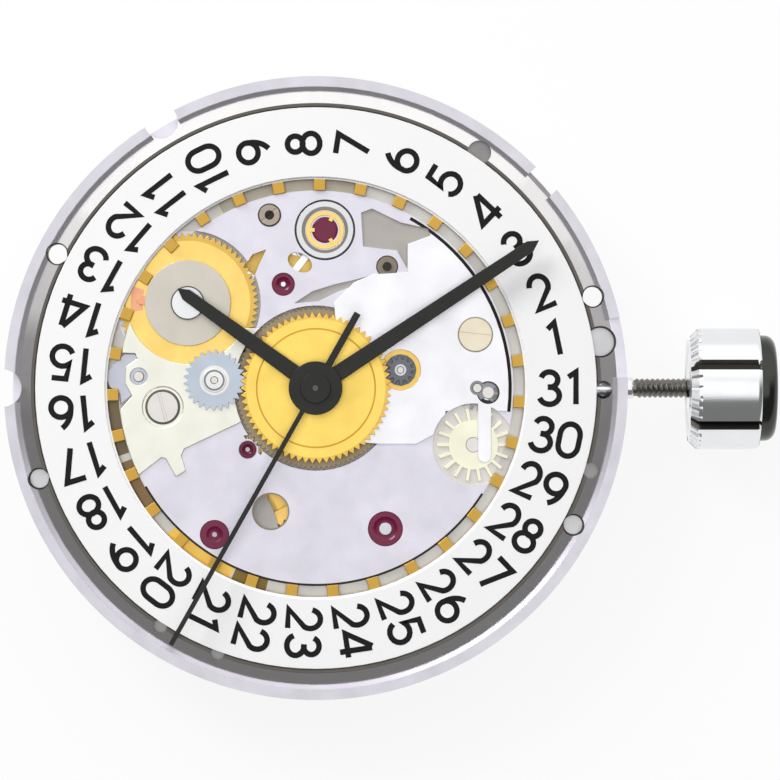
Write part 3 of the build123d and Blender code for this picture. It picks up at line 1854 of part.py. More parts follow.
def rotor_wedge(radius):
    """Corner points of the rotor's wedge, wide of a radius."""
    reach = 2 * radius
    turns = (-rotor_half_angle, -rotor_half_angle / 2, 0, rotor_half_angle / 2, rotor_half_angle)
    return [centre] + [polar(reach, rotor_angle + turn) for turn in turns]


with BuildPart() as rotor_plate:
    with BuildSketch(Plane.XY.offset(rotor_plate_low)) as outline:
        with BuildLine():
            Polyline(*rotor_wedge(rotor_plate_outer), close=True)
        make_face()
        Circle(rotor_plate_outer, mode=Mode.INTERSECT)
        Circle(rotor_hub_radius)
        Circle(bearing_outer_radius, mode=Mode.SUBTRACT)
    extrude(outline.sketch, amount=rotor_plate_thickness)
    with BuildSketch(Plane.XY.offset(rotor_plate_low)) as openings:
        with BuildLine():
            Polyline(*rotor_wedge(rotor_plate_outer), close=True)
        make_face()
        Circle(rotor_opening_outer, mode=Mode.INTERSECT)
        Circle(rotor_opening_inner, mode=Mode.SUBTRACT)
        with PolarLocations(
            rotor_opening_outer / 2,
            rotor_spokes,
            rotor_angle - rotor_half_angle,
            2 * rotor_half_angle,
            endpoint=True,
        ):
            Rectangle(rotor_opening_outer + overrun, rotor_spoke_width, mode=Mode.SUBTRACT)
    extrude(openings.sketch, amount=rotor_plate_thickness, mode=Mode.SUBTRACT)

with BuildPart() as rotor_weight:
    with BuildSketch(Plane.XY.offset(rotor_weight_top - rotor_weight_height)) as outline:
        with BuildLine():
            Polyline(*rotor_wedge(rotor_weight_outer), close=True)
        make_face()
        Circle(rotor_weight_outer, mode=Mode.INTERSECT)
        Circle(rotor_plate_outer, mode=Mode.SUBTRACT)
    extrude(outline.sketch, amount=rotor_weight_height)

# Jewels, screws and pivot pins of the train side
lever_pivot = spot(551.8, 342.8)
yoke_pivot = spot(463.7, 326.1)
lever_pivot_pin = 0.20
yoke_gap = 0.05
yoke_thickness = 0.14
yoke_top = plate_back - yoke_gap
yoke_low = yoke_top - yoke_thickness

with BuildPart() as bridge_jewels:
    for at in (third_centre, great_centre, escape_centre, centre):
        ring(bridge_jewel_radius, pivot_radius + pivot_clearance, pivot_low, train_bridge_top, at)
    ring(
        bridge_jewel_radius - wheel_gap,
        pivot_radius + pivot_clearance,
        pallet_bridge_low,
        pallet_bridge_top,
        fork_centre,
    )
    disc(cock_cap_radius, cock_seat - cap_thickness, cock_seat - pivot_clearance, balance_centre)

with BuildPart() as bridge_screws:
    for at in train_posts:
        disc(screw_radius, train_bridge_low - screw_height, train_bridge_low, at)
    for at in barrel_feet[:2]:
        disc(screw_radius, barrel_bridge_low - screw_height, barrel_bridge_low, at)
    disc(screw_radius, cock_low - screw_height / 2, cock_low, cock_foot)
    for at in automatic_feet:
        disc(screw_radius, automatic_low - screw_height, automatic_low, at)
    disc(crown_wheel_bore, ratchet_low, barrel_bridge_low, crown_wheel_centre)
    disc(click_pin_radius, ratchet_low, barrel_bridge_low, click_centre)
    disc(lever_pivot_pin, lever_low, plate_back, lever_pivot)
    disc(lever_pivot_pin, yoke_low, plate_back, yoke_pivot)

# Keyless works: stem, pinions, lever, yoke and the ribbed knob
pilot_tip = 3.80
square_start = 5.50
square_side = 0.46
journal_start = 7.30
journal_radius = 0.42
lever_groove_start = 9.30
lever_groove_end = 9.60
lever_groove_radius = 0.28
knob_gap = 2.64
knob_length = 2.96
knob_cap_length = 0.70
thread_in_knob = 1.26
knob_start = flange_radius + knob_gap
knob_end = knob_start + knob_length
knob_cap_end = knob_end + knob_cap_length
thread_end = knob_start + thread_in_knob
stem_radius = stem_bore_radius - fit_clearance
shoulder_reach = 0.30
thread_radius = 0.42
thread_start = flange_radius + shoulder_reach
winding_pinion_start = 7.45
winding_pinion_end = 8.35
winding_pinion_tip = 0.90
winding_pinion_bore = journal_radius + fit_clearance
sliding_start = 5.60
sliding_end = 7.20
sliding_tip = 0.66
sliding_bore = 0.34
yoke_groove_start = 6.30
yoke_groove_end = 6.60
yoke_groove_radius = 0.45


def stem_leaves(teeth, tip, start, end):
    """Pinion leaves about the stem's axis between two distances along it."""
    module = tip / (teeth / 2 + addendum_share)
    points = corners(teeth, module, (0, stem_level), 90, leaf_land_share, leaf_root_share)
    with BuildSketch(Plane.YZ.offset(start)) as profile:
        with BuildLine():
            Polyline(*points, close=True)
        make_face()
    extrude(profile.sketch, amount=end - start)


with BuildPart() as winding_stem:
    along_stem(pilot_radius, pilot_tip, square_start)
    with BuildSketch(Plane.YZ.offset(square_start)) as square:
        with Locations((0, stem_level)):
            Rectangle(square_side, square_side)
    extrude(square.sketch, amount=journal_start - square_start)
    along_stem(journal_radius, journal_start, lever_groove_start)
    along_stem(lever_groove_radius, lever_groove_start, lever_groove_end)
    along_stem(stem_radius, lever_groove_end, thread_start)
    along_stem(thread_radius, thread_start, thread_end)

with BuildPart() as winding_pinion:
    stem_leaves(winding_leaves, winding_pinion_tip, winding_pinion_start, winding_pinion_end)
    along_stem(winding_pinion_bore, winding_pinion_start, winding_pinion_end, Mode.SUBTRACT)

with BuildPart() as sliding_pinion:
    stem_leaves(winding_leaves, sliding_tip, sliding_start, sliding_end)
    with BuildSketch(Plane.YZ.offset(yoke_groove_start)) as groove:
        with Locations((0, stem_level)):
            Circle(sliding_tip + play)
            Circle(yoke_groove_radius, mode=Mode.SUBTRACT)
    extrude(groove.sketch, amount=yoke_groove_end - yoke_groove_start, mode=Mode.SUBTRACT)
    along_stem(sliding_bore, sliding_start, sliding_end, Mode.SUBTRACT)

lever_pivot_hub = 0.45
lever_pin_radius = 0.12
lever_pin_hub = 0.24
lever_pin_centre = ((lever_groove_start + lever_groove_end) / 2, 0)
lever_pin_low = stem_level + lever_groove_radius + lever_gap
yoke_width = 0.40
yoke_finger_width = 0.22
yoke_finger = ((yoke_groove_start + yoke_groove_end) / 2, 0)
yoke_elbow_reach = 1.00

with BuildPart() as setting_lever:
    link([(lever_pivot, lever_pivot_hub), (lever_pin_centre, lever_pin_hub)], lever_low, lever_top)
    disc(lever_pin_radius, lever_pin_low, lever_low, lever_pin_centre)
    disc(lever_pivot_pin + fit_clearance, lever_low, lever_top, lever_pivot, Mode.SUBTRACT)

with BuildPart() as yoke:
    disc(yoke_width, yoke_low, yoke_top, yoke_pivot)
    bar(
        yoke_pivot,
        (yoke_finger[0], yoke_finger[1] + yoke_elbow_reach),
        yoke_width,
        yoke_low,
        yoke_top,
    )
    bar(
        (yoke_finger[0], yoke_finger[1] + yoke_elbow_reach),
        yoke_finger,
        yoke_finger_width,
        yoke_low,
        yoke_top,
    )
    disc(lever_pivot_pin + fit_clearance, yoke_low, yoke_top, yoke_pivot, Mode.SUBTRACT)

knob_radius = 2.585
knob_chamfer = 0.30
knob_cap_radius = 2.235
knob_cap_round = 0.45
knob_groove_width = 0.32
knob_groove_depth = 0.25
knob_grooves = 6
knob_groove_angle = 8
knob_notch = 0.16
knob_notches = 24

with BuildPart() as crown:
    with BuildSketch(Plane.XZ) as turned:
        with BuildLine():
            Polyline(
                (knob_start, stem_level),
                (knob_start, stem_level + knob_radius - knob_chamfer),
                (knob_start + knob_chamfer, stem_level + knob_radius),
                (knob_end - knob_chamfer / 2, stem_level + knob_radius),
                (knob_end, stem_level + knob_radius - knob_chamfer / 2),
                (knob_end, stem_level + knob_cap_radius),
                (knob_cap_end - knob_cap_round, stem_level + knob_cap_radius),
            )
            RadiusArc(
                (knob_cap_end - knob_cap_round, stem_level + knob_cap_radius),
                (knob_cap_end, stem_level + knob_cap_radius - knob_cap_round),
                knob_cap_round,
            )
            Polyline(
                (knob_cap_end, stem_level + knob_cap_radius - knob_cap_round),
                (knob_cap_end, stem_level),
                (knob_start, stem_level),
            )
        make_face()
    revolve(turned.sketch, Axis((0, 0, stem_level), (1, 0, 0)))
    with BuildSketch(Plane.YZ.offset(knob_start)) as ribs:
        with Locations((0, stem_level)):
            with PolarLocations(knob_radius, knob_grooves, knob_groove_angle):
                Rectangle(2 * knob_groove_depth, knob_groove_width)
            with PolarLocations(knob_radius, knob_notches, knob_groove_angle):
                Rectangle(knob_notch, knob_notch, rotation=45)
    extrude(ribs.sketch, amount=knob_end - knob_start, mode=Mode.SUBTRACT)
    along_stem(thread_radius, knob_start, thread_end, Mode.SUBTRACT)

pieces = {
    "mainplate": mainplate,
    "date_ring": date_ring,
    "date_driving_wheel": date_driving_wheel,
    "date_finger": date_finger,
    "date_disc": date_disc,
    "intermediate_date_wheel": intermediate_date_wheel,
    "date_jumper": date_jumper,
    "jumper_cover_plate": jumper_cover_plate,
    "calendar_cover_plate": calendar_cover_plate,
    "corrector_wheel": corrector_wheel,
    "hour_wheel": hour_wheel,
    "cannon_pinion": cannon_pinion,
    "cannon_driving_wheel": cannon_driving_wheel,
    "minute_wheel": minute_wheel,
    "setting_wheel": setting_wheel,
    "centre_tube": centre_tube,
    "hour_hand": hour_hand,
    "minute_hand": minute_hand,
    "seconds_hand": seconds_hand,
    "dial_side_jewels": dial_side_jewels,
    "dial_side_screws": dial_side_screws,
    "third_wheel": third_wheel,
    "seconds_wheel": seconds_wheel,
    "escape_wheel": escape_wheel,
    "great_wheel": great_wheel,
    "barrel_drum": barrel_drum,
    "barrel_cover": barrel_cover,
    "mainspring": mainspring,
    "barrel_arbor": barrel_arbor,
    "ratchet_wheel": ratchet_wheel,
    "crown_wheel": crown_wheel,
    "click": click,
    "pallet_fork": pallet_fork,
    "pallet_stones": pallet_stones,
    "pallet_bridge": pallet_bridge,
    "balance_wheel": balance_wheel,
    "roller": roller,
    "hairspring": hairspring,
    "balance_cock": balance_cock,
    "regulator": regulator,
    "shock_settings": shock_settings,
    "shock_springs": shock_springs,
    "train_bridge": train_bridge,
    "barrel_bridge": barrel_bridge,
    "automatic_bridge": automatic_bridge,
    "first_reverser": first_reverser,
    "second_reverser": second_reverser,
    "reduction_wheel": reduction_wheel,
    "rotor_bearing": rotor_bearing,
    "rotor_gear": rotor_gear,
    "rotor_plate": rotor_plate,
    "rotor_weight": rotor_weight,
    "bridge_jewels": bridge_jewels,
    "bridge_screws": bridge_screws,
    "winding_stem": winding_stem,
    "winding_pinion": winding_pinion,
    "sliding_pinion": sliding_pinion,
    "setting_lever": setting_lever,
    "yoke": yoke,
    "crown": crown,
}
for name, piece in pieces.items():
    piece.part.label = name
    export_step(piece.part, f"parts/{name}.step")
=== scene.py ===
"""Looks of a mechanical watch movement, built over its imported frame, in metres."""

import json
import logging
import math
from dataclasses import dataclass, field, replace
from enum import Enum

import bpy
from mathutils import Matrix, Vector

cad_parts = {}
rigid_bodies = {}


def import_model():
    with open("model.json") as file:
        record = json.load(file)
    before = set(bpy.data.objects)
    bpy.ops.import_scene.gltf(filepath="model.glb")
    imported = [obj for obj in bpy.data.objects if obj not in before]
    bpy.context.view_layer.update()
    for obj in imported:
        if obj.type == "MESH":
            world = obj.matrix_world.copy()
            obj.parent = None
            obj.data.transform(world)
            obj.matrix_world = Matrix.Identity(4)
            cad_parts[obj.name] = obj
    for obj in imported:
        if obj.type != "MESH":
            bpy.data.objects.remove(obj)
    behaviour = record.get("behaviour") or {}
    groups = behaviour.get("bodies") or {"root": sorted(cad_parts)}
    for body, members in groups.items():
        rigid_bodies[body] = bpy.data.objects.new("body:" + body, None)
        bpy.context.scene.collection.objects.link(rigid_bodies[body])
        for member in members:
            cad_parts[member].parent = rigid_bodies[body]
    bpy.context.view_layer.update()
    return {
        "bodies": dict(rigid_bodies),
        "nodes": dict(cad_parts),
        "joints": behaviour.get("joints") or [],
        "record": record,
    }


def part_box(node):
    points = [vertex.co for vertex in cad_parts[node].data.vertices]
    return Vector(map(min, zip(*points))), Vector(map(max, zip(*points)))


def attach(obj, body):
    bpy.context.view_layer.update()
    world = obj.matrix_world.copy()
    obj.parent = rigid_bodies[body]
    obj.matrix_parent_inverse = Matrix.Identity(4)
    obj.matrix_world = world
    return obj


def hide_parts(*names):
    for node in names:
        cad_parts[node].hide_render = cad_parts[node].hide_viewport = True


LOG = logging.getLogger("movement")
MM = 0.001
PIXEL = 0.041987
AXIS_COLUMN = 316
AXIS_ROW = 388
FLOOR_LEVEL = -4.37
STRIPE_WIDTH = 1.5
STRIPE_SLANT = 0.35
DOUBLES = 1e-4
SHARP_ANGLE = 32.0
FLAT_ANGLE = 1.5

Colour = tuple[float, float, float]
Point = tuple[float, float]


def polar(reach: float, angle: float, origin: Point = (0.0, 0.0)) -> Point:
    """Plan point at a distance and an angle in degrees from an origin."""
    turn = math.radians(angle)
    return (origin[0] + reach * math.cos(turn), origin[1] + reach * math.sin(turn))


def spot(column: float, row: float) -> Point:
    """Plan point in millimetres of a picture pixel."""
    return ((column - AXIS_COLUMN) * PIXEL, (AXIS_ROW - row) * PIXEL)


HANDS_AXIS: Point = (0.0, 0.0)
MINUTE_CENTRE: Point = (3.5502, 0.7611)
INTERMEDIATE_CENTRE: Point = (-4.2700, 0.3286)
DATE_WHEEL_CENTRE: Point = (-5.3928, 3.5802)
THIRD_CENTRE: Point = (-2.8795, -2.5900)
GREAT_CENTRE: Point = (-4.2737, -6.1658)
BARREL_CENTRE: Point = (2.9161, -5.9198)
ESCAPE_CENTRE: Point = (-3.2204, 1.7089)
FORK_CENTRE: Point = (-1.3814, 4.3709)
BALANCE_CENTRE: Point = (0.3695, 6.6592)
CROWN_WHEEL_CENTRE: Point = (5.0716, 0.0)
CORRECTOR_CENTRE: Point = (6.6214, -2.3891)
COVER_POST_CENTRE: Point = (7.2408, -0.1889)
STEM_LEVEL = -1.75


class Grain(Enum):
    """How a surface is worked."""

    FROSTED = "frosted"
    SATIN = "satin"
    TURNED = "turned"
    SUNBURST = "sunburst"
    STRIPED = "striped"
    POLISHED = "polished"


class Graph:
    """Node tree of one material, with short calls for its nodes."""

    def __init__(self, name: str) -> None:
        """Starts an empty tree with a shader and an output.

        Args:
            name: Name of the material.
        """
        self.material = bpy.data.materials.new(name)
        self.material.use_nodes = True
        self.tree = self.material.node_tree
        self.tree.nodes.clear()
        self.output = self.node("ShaderNodeOutputMaterial")
        self.shader = self.node("ShaderNodeBsdfPrincipled")
        self.link(self.shader.outputs[0], self.output.inputs["Surface"])

    def node(self, kind: str, **settings: object) -> bpy.types.Node:
        """Adds a node and sets its properties.

        Args:
            kind: Blender's name of the node type.
            **settings: Properties of the node.

        Returns:
            The new node.
        """
        made = self.tree.nodes.new(kind)
        for key, value in settings.items():
            setattr(made, key, value)
        return made

    def link(self, start: bpy.types.NodeSocket, end: bpy.types.NodeSocket) -> None:
        """Joins two sockets."""
        self.tree.links.new(start, end)

    def feed(self, socket: bpy.types.NodeSocket, value: object) -> None:
        """Links a socket to a value, or sets it to a plain one.

        Args:
            socket: Input that gets the value.
            value: Another socket, a number or a tuple.
        """
        if isinstance(value, bpy.types.NodeSocket):
            self.link(value, socket)
        else:
            socket.default_value = value

    def math(self, operation: str, *values: object, clamp: bool = False) -> bpy.types.NodeSocket:
        """Adds a math node.

        Args:
            operation: Blender's name of the operation.
            *values: Sockets or numbers that it works on.
            clamp: Whether the result is kept between 0 and 1.

        Returns:
            Socket with the result.
        """
        made = self.node("ShaderNodeMath", operation=operation, use_clamp=clamp)
        for socket, value in zip(made.inputs, values):
            self.feed(socket, value)
        return made.outputs[0]

    def vector(self, operation: str, *values: object) -> bpy.types.NodeSocket:
        """Adds a vector math node.

        Args:
            operation: Blender's name of the operation.
            *values: Sockets or triples that it works on.

        Returns:
            Socket with the result.
        """
        made = self.node("ShaderNodeVectorMath", operation=operation)
        for socket, value in zip(made.inputs, values):
            self.feed(socket, value)
        return made.outputs[0]

    def join(self, x: object, y: object, z: object) -> bpy.types.NodeSocket:
        """Makes a vector of three values.

        Args:
            x: Its first part.
            y: Its second part.
            z: Its third part.

        Returns:
            Socket with the vector.
        """
        made = self.node("ShaderNodeCombineXYZ")
        for socket, value in zip(made.inputs, (x, y, z)):
            self.feed(socket, value)
        return made.outputs[0]

    def noise(self, where: object, scale: float, detail: float = 2.0) -> bpy.types.NodeSocket:
        """Adds noise between 0 and 1 over a vector.

        Args:
            where: Place that it is read at.
            scale: Size of its pattern, finer as it grows.
            detail: Number of finer layers.

        Returns:
            Socket with the noise.
        """
        made = self.node("ShaderNodeTexNoise")
        self.feed(made.inputs["Vector"], where)
        made.inputs["Scale"].default_value = scale
        made.inputs["Detail"].default_value = detail
        return made.outputs[0]

    def blend(self, factor: object, first: object, second: object) -> bpy.types.NodeSocket:
        """Mixes two colours.

        Args:
            factor: Share of the second colour.
            first: Colour at 0.
            second: Colour at 1.

        Returns:
            Socket with the colour.
        """
        made = self.node("ShaderNodeMix", data_type="RGBA")
        self.feed(made.inputs[0], factor)
        for socket, value in ((made.inputs[6], first), (made.inputs[7], second)):
            self.feed(socket, value if isinstance(value, bpy.types.NodeSocket) else (*value, 1.0))
        return made.outputs[2]

    def between(self, value: object, low: float, high: float) -> bpy.types.NodeSocket:
        """Marks where a value lies between two limits.

        Args:
            value: Value that is tested.
            low: Lower limit.
            high: Upper limit.

        Returns:
            Socket with 1 between the limits and 0 elsewhere.
        """
        above = self.math("GREATER_THAN", value, low)
        below = self.math("LESS_THAN", value, high)
        return self.math("MULTIPLY", above, below)


@dataclass(frozen=True)
class Zone:
    """Part of a surface with a colour of its own, also used to lay painted shade, by radius and
    height in millimetres.
    """

    colour: Colour
    roughness: float = 0.35
    metallic: float = 1.0
    centre: Point = HANDS_AXIS
    inner: float = -1.0
    outer: float = 100.0
    low: float = -100.0
    high: float = 100.0
    bearing: float = 0.0
    spread: float = 180.0


def ring_mark(centre: Point, radius: float, width: float, colour: Colour) -> Zone:
    """Narrow ring of painted shade, as where a head or a jewel sits in its hole.

    Args:
        centre: Plan place of its middle.
        radius: Middle radius in millimetres.
        width: Width in millimetres.
        colour: Colour of the ring.

    Returns:
        The zone.
    """
    return Zone(colour, 0.45, centre=centre, inner=radius - width / 2, outer=radius + width / 2)


@dataclass(frozen=True)
class Finish:
    """Colour and working of a surface."""

    name: str
    colour: Colour
    roughness: float = 0.35
    metallic: float = 1.0
    grain: Grain = Grain.FROSTED
    centre: Point = HANDS_AXIS
    relief: float = 1.0
    mottle: float = 0.06
    specular: float = 0.5
    zones: tuple[Zone, ...] = ()

    def height(self, graph: Graph, x: object, y: object, place: object) -> bpy.types.NodeSocket:
        """Relief of the grain between 0 and 1.

        Args:
            graph: Tree that the nodes go into.
            x: Millimetres from the grain's centre along X.
            y: Millimetres from the grain's centre along Y.
            place: The same place as a vector.

        Returns:
            Socket with the relief.
        """
        if self.grain is Grain.SATIN:
            return graph.noise(graph.join(graph.math("MULTIPLY", x, 0.06), y, 0.0), 26.0)
        if self.grain is Grain.TURNED:
            reach = graph.math("SQRT", graph.math("ADD", graph.math("MULTIPLY", x, x),
                                                  graph.math("MULTIPLY", y, y)))
            return graph.noise(graph.join(reach, 0.0, 0.0), 22.0)
        if self.grain is Grain.SUNBURST:
            turn = graph.math("ARCTAN2", y, x)
            return graph.noise(graph.join(graph.math("MULTIPLY", turn, 9.0), 0.0, 0.0), 6.0)
        if self.grain is Grain.STRIPED:
            slant = graph.math("ADD", x, graph.math("MULTIPLY", y, STRIPE_SLANT))
            across = graph.math("DIVIDE", slant, STRIPE_WIDTH)
            wave = graph.math("FRACT", across)
            fine = graph.noise(graph.join(graph.math("MULTIPLY", y, 5.0), across, 0.0), 8.0)
            return graph.math("ADD", wave, graph.math("MULTIPLY", fine, 0.3))
        scale = 14.0 if self.grain is Grain.POLISHED else 34.0
        return graph.noise(place, scale, 3.0)

    @staticmethod
    def mask(graph: Graph, x: object, y: object, z: object, zone: Zone) -> bpy.types.NodeSocket:
        """Marks where a zone lies.

        Args:
            graph: Tree that the nodes go into.
            x: Millimetres along X.
            y: Millimetres along Y.
            z: Millimetres along Z.
            zone: The zone.

        Returns:
            Socket with 1 in the zone and 0 elsewhere.
        """
        dx = graph.math("SUBTRACT", x, zone.centre[0])
        dy = graph.math("SUBTRACT", y, zone.centre[1])
        reach = graph.math("SQRT", graph.math("ADD", graph.math("MULTIPLY", dx, dx),
                                              graph.math("MULTIPLY", dy, dy)))
        mask = graph.math("MULTIPLY", graph.between(reach, zone.inner, zone.outer),
                          graph.between(z, zone.low, zone.high))
        if zone.spread < 180:
            heading = math.radians(zone.bearing)
            ahead = graph.math("ADD", graph.math("MULTIPLY", dx, math.cos(heading)),
                               graph.math("MULTIPLY", dy, math.sin(heading)))
            facing = graph.math("DIVIDE", ahead, graph.math("MAXIMUM", reach, 0.001))
            mask = graph.math("MULTIPLY", mask, graph.math(
                "GREATER_THAN", facing, math.cos(math.radians(zone.spread))))
        return mask

    @staticmethod
    def switch(graph: Graph, mask: object, inside: float, outside: object) -> bpy.types.NodeSocket:
        """Chooses between two numbers by a mask.

        Args:
            graph: Tree that the nodes go into.
            mask: Socket with 1 or 0.
            inside: Number where the mask is 1.
            outside: Number or socket where it is 0.

        Returns:
            Socket with the chosen number.
        """
        rest = graph.math("MULTIPLY", graph.math("SUBTRACT", 1.0, mask), outside)
        return graph.math("ADD", graph.math("MULTIPLY", mask, inside), rest)

    def build(self) -> bpy.types.Material:
        """Makes the material.

        Returns:
            The finished material.
        """
        graph = Graph(self.name)
        place = graph.node("ShaderNodeTexCoord").outputs["Object"]
        spread = graph.vector("SCALE", place)
        spread.node.inputs["Scale"].default_value = 1 / MM
        moved = graph.vector("SUBTRACT", spread, (*self.centre, 0.0))
        apart = graph.node("ShaderNodeSeparateXYZ")
        graph.link(moved, apart.inputs[0])
        x, y, z = apart.outputs
        relief = self.height(graph, x, y, moved)
        clouds = graph.noise(moved, 0.9, 3.0)
        tone = graph.math("ADD", graph.math("MULTIPLY", relief, self.mottle),
                          graph.math("MULTIPLY", clouds, 1.6 * self.mottle))
        shade = graph.math("SUBTRACT", 1.0 + 1.1 * self.mottle, tone)
        colour: object = self.colour
        rough: object = self.roughness
        metal: object = self.metallic
        whole = graph.node("ShaderNodeSeparateXYZ")
        graph.link(spread, whole.inputs[0])
        for zone in self.zones:
            mask = self.mask(graph, *whole.outputs, zone)
            colour = graph.blend(mask, colour, zone.colour)
            rough = self.switch(graph, mask, zone.roughness, rough)
            if any(other.metallic != self.metallic for other in self.zones):
                metal = self.switch(graph, mask, zone.metallic, metal)
        if not self.zones:
            colour = graph.blend(0.0, self.colour, self.colour)
        lit = graph.vector("SCALE", colour)
        graph.link(shade, lit.node.inputs["Scale"])
        shader = graph.shader.inputs
        graph.link(lit, shader["Base Color"])
        wear = graph.math("MULTIPLY", graph.math("SUBTRACT", clouds, 0.5), 0.16)
        worn = graph.math("ADD", rough, wear)
        graph.link(graph.math("MAXIMUM", worn, 0.04), shader["Roughness"])
        graph.feed(shader["Metallic"], metal)
        shader["Specular IOR Level"].default_value = self.specular
        bump = graph.node("ShaderNodeBump")
        bump.inputs["Strength"].default_value = 0.5
        bump.inputs["Distance"].default_value = 2.5e-6 * self.relief
        graph.link(relief, bump.inputs["Height"])
        graph.link(bump.outputs[0], shader["Normal"])
        return graph.material


def clear_selection() -> None:
    """Leaves edit mode and deselects everything."""
    if bpy.context.object is not None and bpy.context.object.mode != "OBJECT":
        bpy.ops.object.mode_set(mode="OBJECT")
    bpy.ops.object.select_all(action="DESELECT")


def take(piece: bpy.types.Object) -> None:
    """Deselects everything and makes one object active and selected.

    Args:
        piece: The object.
    """
    clear_selection()
    piece.select_set(True)
    bpy.context.view_layer.objects.active = piece


def face_outward(merge: bool = False, close: bool = False) -> None:
    """Turns the faces of the active object outwards and leaves edit mode.

    Args:
        merge: Whether doubled corners are merged first.
        close: Whether open rims are filled first.
    """
    bpy.ops.object.mode_set(mode="EDIT")
    bpy.ops.mesh.select_all(action="SELECT")
    if merge:
        bpy.ops.mesh.remove_doubles(threshold=DOUBLES)
    if close:
        bpy.ops.mesh.fill_holes(sides=0)
        bpy.ops.mesh.select_all(action="SELECT")
    bpy.ops.mesh.normals_make_consistent(inside=False)
    bpy.ops.object.mode_set(mode="OBJECT")


def apply_modifier(piece: bpy.types.Object, kind: str, **settings: object) -> None:
    """Adds a modifier with its settings and applies it.

    Args:
        piece: Object that gets it.
        kind: Blender's name of the modifier type.
        **settings: Properties of the modifier.
    """
    take(piece)
    made = piece.modifiers.new(kind.lower(), kind)
    for key, value in settings.items():
        setattr(made, key, value)
    bpy.ops.object.modifier_apply(modifier=made.name)


def soften(piece: bpy.types.Object, width: float, segments: int = 2) -> None:
    """Chamfers the sharp edges of a piece modelled in millimetres.

    Args:
        piece: The piece.
        width: Width of the chamfer.
        segments: Number of faces across it.
    """
    apply_modifier(piece, "BEVEL", width=width, segments=segments, limit_method="ANGLE",
                   angle_limit=math.radians(SHARP_ANGLE), use_clamp_overlap=True)


def turned(
    name: str, at: Point, profile: list[Point], sides: int = 64, along_stem: bool = False
) -> bpy.types.Object:
    """Body of revolution, in millimetres, about an upright axis or the stem's.

    Args:
        name: Name of the object.
        at: Plan place of its axis.
        profile: Radius and height of each corner, closed if the last is the first.
        sides: Sides of the circle.
        along_stem: Whether the heights run along +X from the hands' axis.

    Returns:
        The new object.
    """
    clear_selection()
    first_radius, first_height = profile[0]
    bpy.ops.mesh.primitive_circle_add(
        vertices=sides, radius=first_radius, fill_type="NOTHING", location=(*at, first_height)
    )
    piece = bpy.context.object
    piece.name = name
    bpy.ops.object.mode_set(mode="EDIT")
    bpy.ops.mesh.select_all(action="SELECT")
    for (radius, height), (next_radius, next_height) in zip(profile, profile[1:]):
        bpy.ops.mesh.extrude_region_move(
            TRANSFORM_OT_translate={"value": (0, 0, next_height - height)}
        )
        share = next_radius / radius
        bpy.ops.transform.resize(value=(share, share, 1), center_override=(*at, next_height))
    face_outward(merge=True, close=profile[0] != profile[-1])
    if along_stem:
        bpy.ops.object.transform_apply(location=True)
        piece.rotation_euler = (0, math.pi / 2, 0)
        piece.location = (0, 0, STEM_LEVEL)
    bpy.ops.object.transform_apply(location=True, rotation=True, scale=True)
    return piece


def slotted(
    name: str, at: Point, radius: float, low: float, top: float, angle: float, down: bool
) -> bpy.types.Object:
    """Screw head with a rounded edge and a slot, in millimetres.

    Args:
        name: Name of the object.
        at: Plan place of its axis.
        radius: Radius of the head.
        low: Lower level.
        top: Upper level.
        angle: Direction of the slot in degrees.
        down: Whether the slot is on the lower side.

    Returns:
        The new object.
    """
    height = top - low
    floor = top - 0.45 * height
    parts = [turned(name, at, [(radius, low), (radius, floor)], 40)]
    for side in (1, -1):
        half = turned(name + "_half", at, [(radius, floor), (radius, top - 0.2 * height),
                                           (radius - 0.2 * height, top)], 40)
        turn = math.radians(angle + 90 * side)
        outward = (math.cos(turn), math.sin(turn), 0.0)
        reach = 0.13 * radius
        bpy.ops.object.mode_set(mode="EDIT")
        bpy.ops.mesh.select_all(action="SELECT")
        bpy.ops.mesh.bisect(
            plane_co=(at[0] + reach * outward[0], at[1] + reach * outward[1], low),
            plane_no=outward, clear_inner=True, use_fill=True,
        )
        bpy.ops.object.mode_set(mode="OBJECT")
        parts.append(half)
    head = joined(name, parts)
    if down:
        head.scale = (1, 1, -1)
        head.location = (0, 0, low + top)
        bpy.ops.object.transform_apply(location=True, scale=True)
        face_outward()
    return head


def joined(name: str, parts: list[bpy.types.Object]) -> bpy.types.Object:
    """Joins several objects into one.

    Args:
        name: Name of the joined object.
        parts: Objects that it is made of.

    Returns:
        The joined object.
    """
    take(parts[0])
    for part in parts[1:]:
        part.select_set(True)
    if len(parts) > 1:
        bpy.ops.object.join()
    whole = bpy.context.object
    whole.name = name
    return whole


def swept(name: str, points: list[Point], level: float) -> bpy.types.Object:
    """Makes a curve through plan points, in millimetres.

    Args:
        name: Name of the object.
        points: Plan points along it.
        level: Level that it lies at.

    Returns:
        The new curve object.
    """
    shape = bpy.data.curves.new(name, "CURVE")
    shape.dimensions = "3D"
    shape.twist_mode = "Z_UP"
    spline = shape.splines.new("POLY")
    spline.points.add(len(points) - 1)
    for place, (x, y) in zip(spline.points, points):
        place.co = (x, y, level, 1.0)
    piece = bpy.data.objects.new(name, shape)
    bpy.context.scene.collection.objects.link(piece)
    return piece


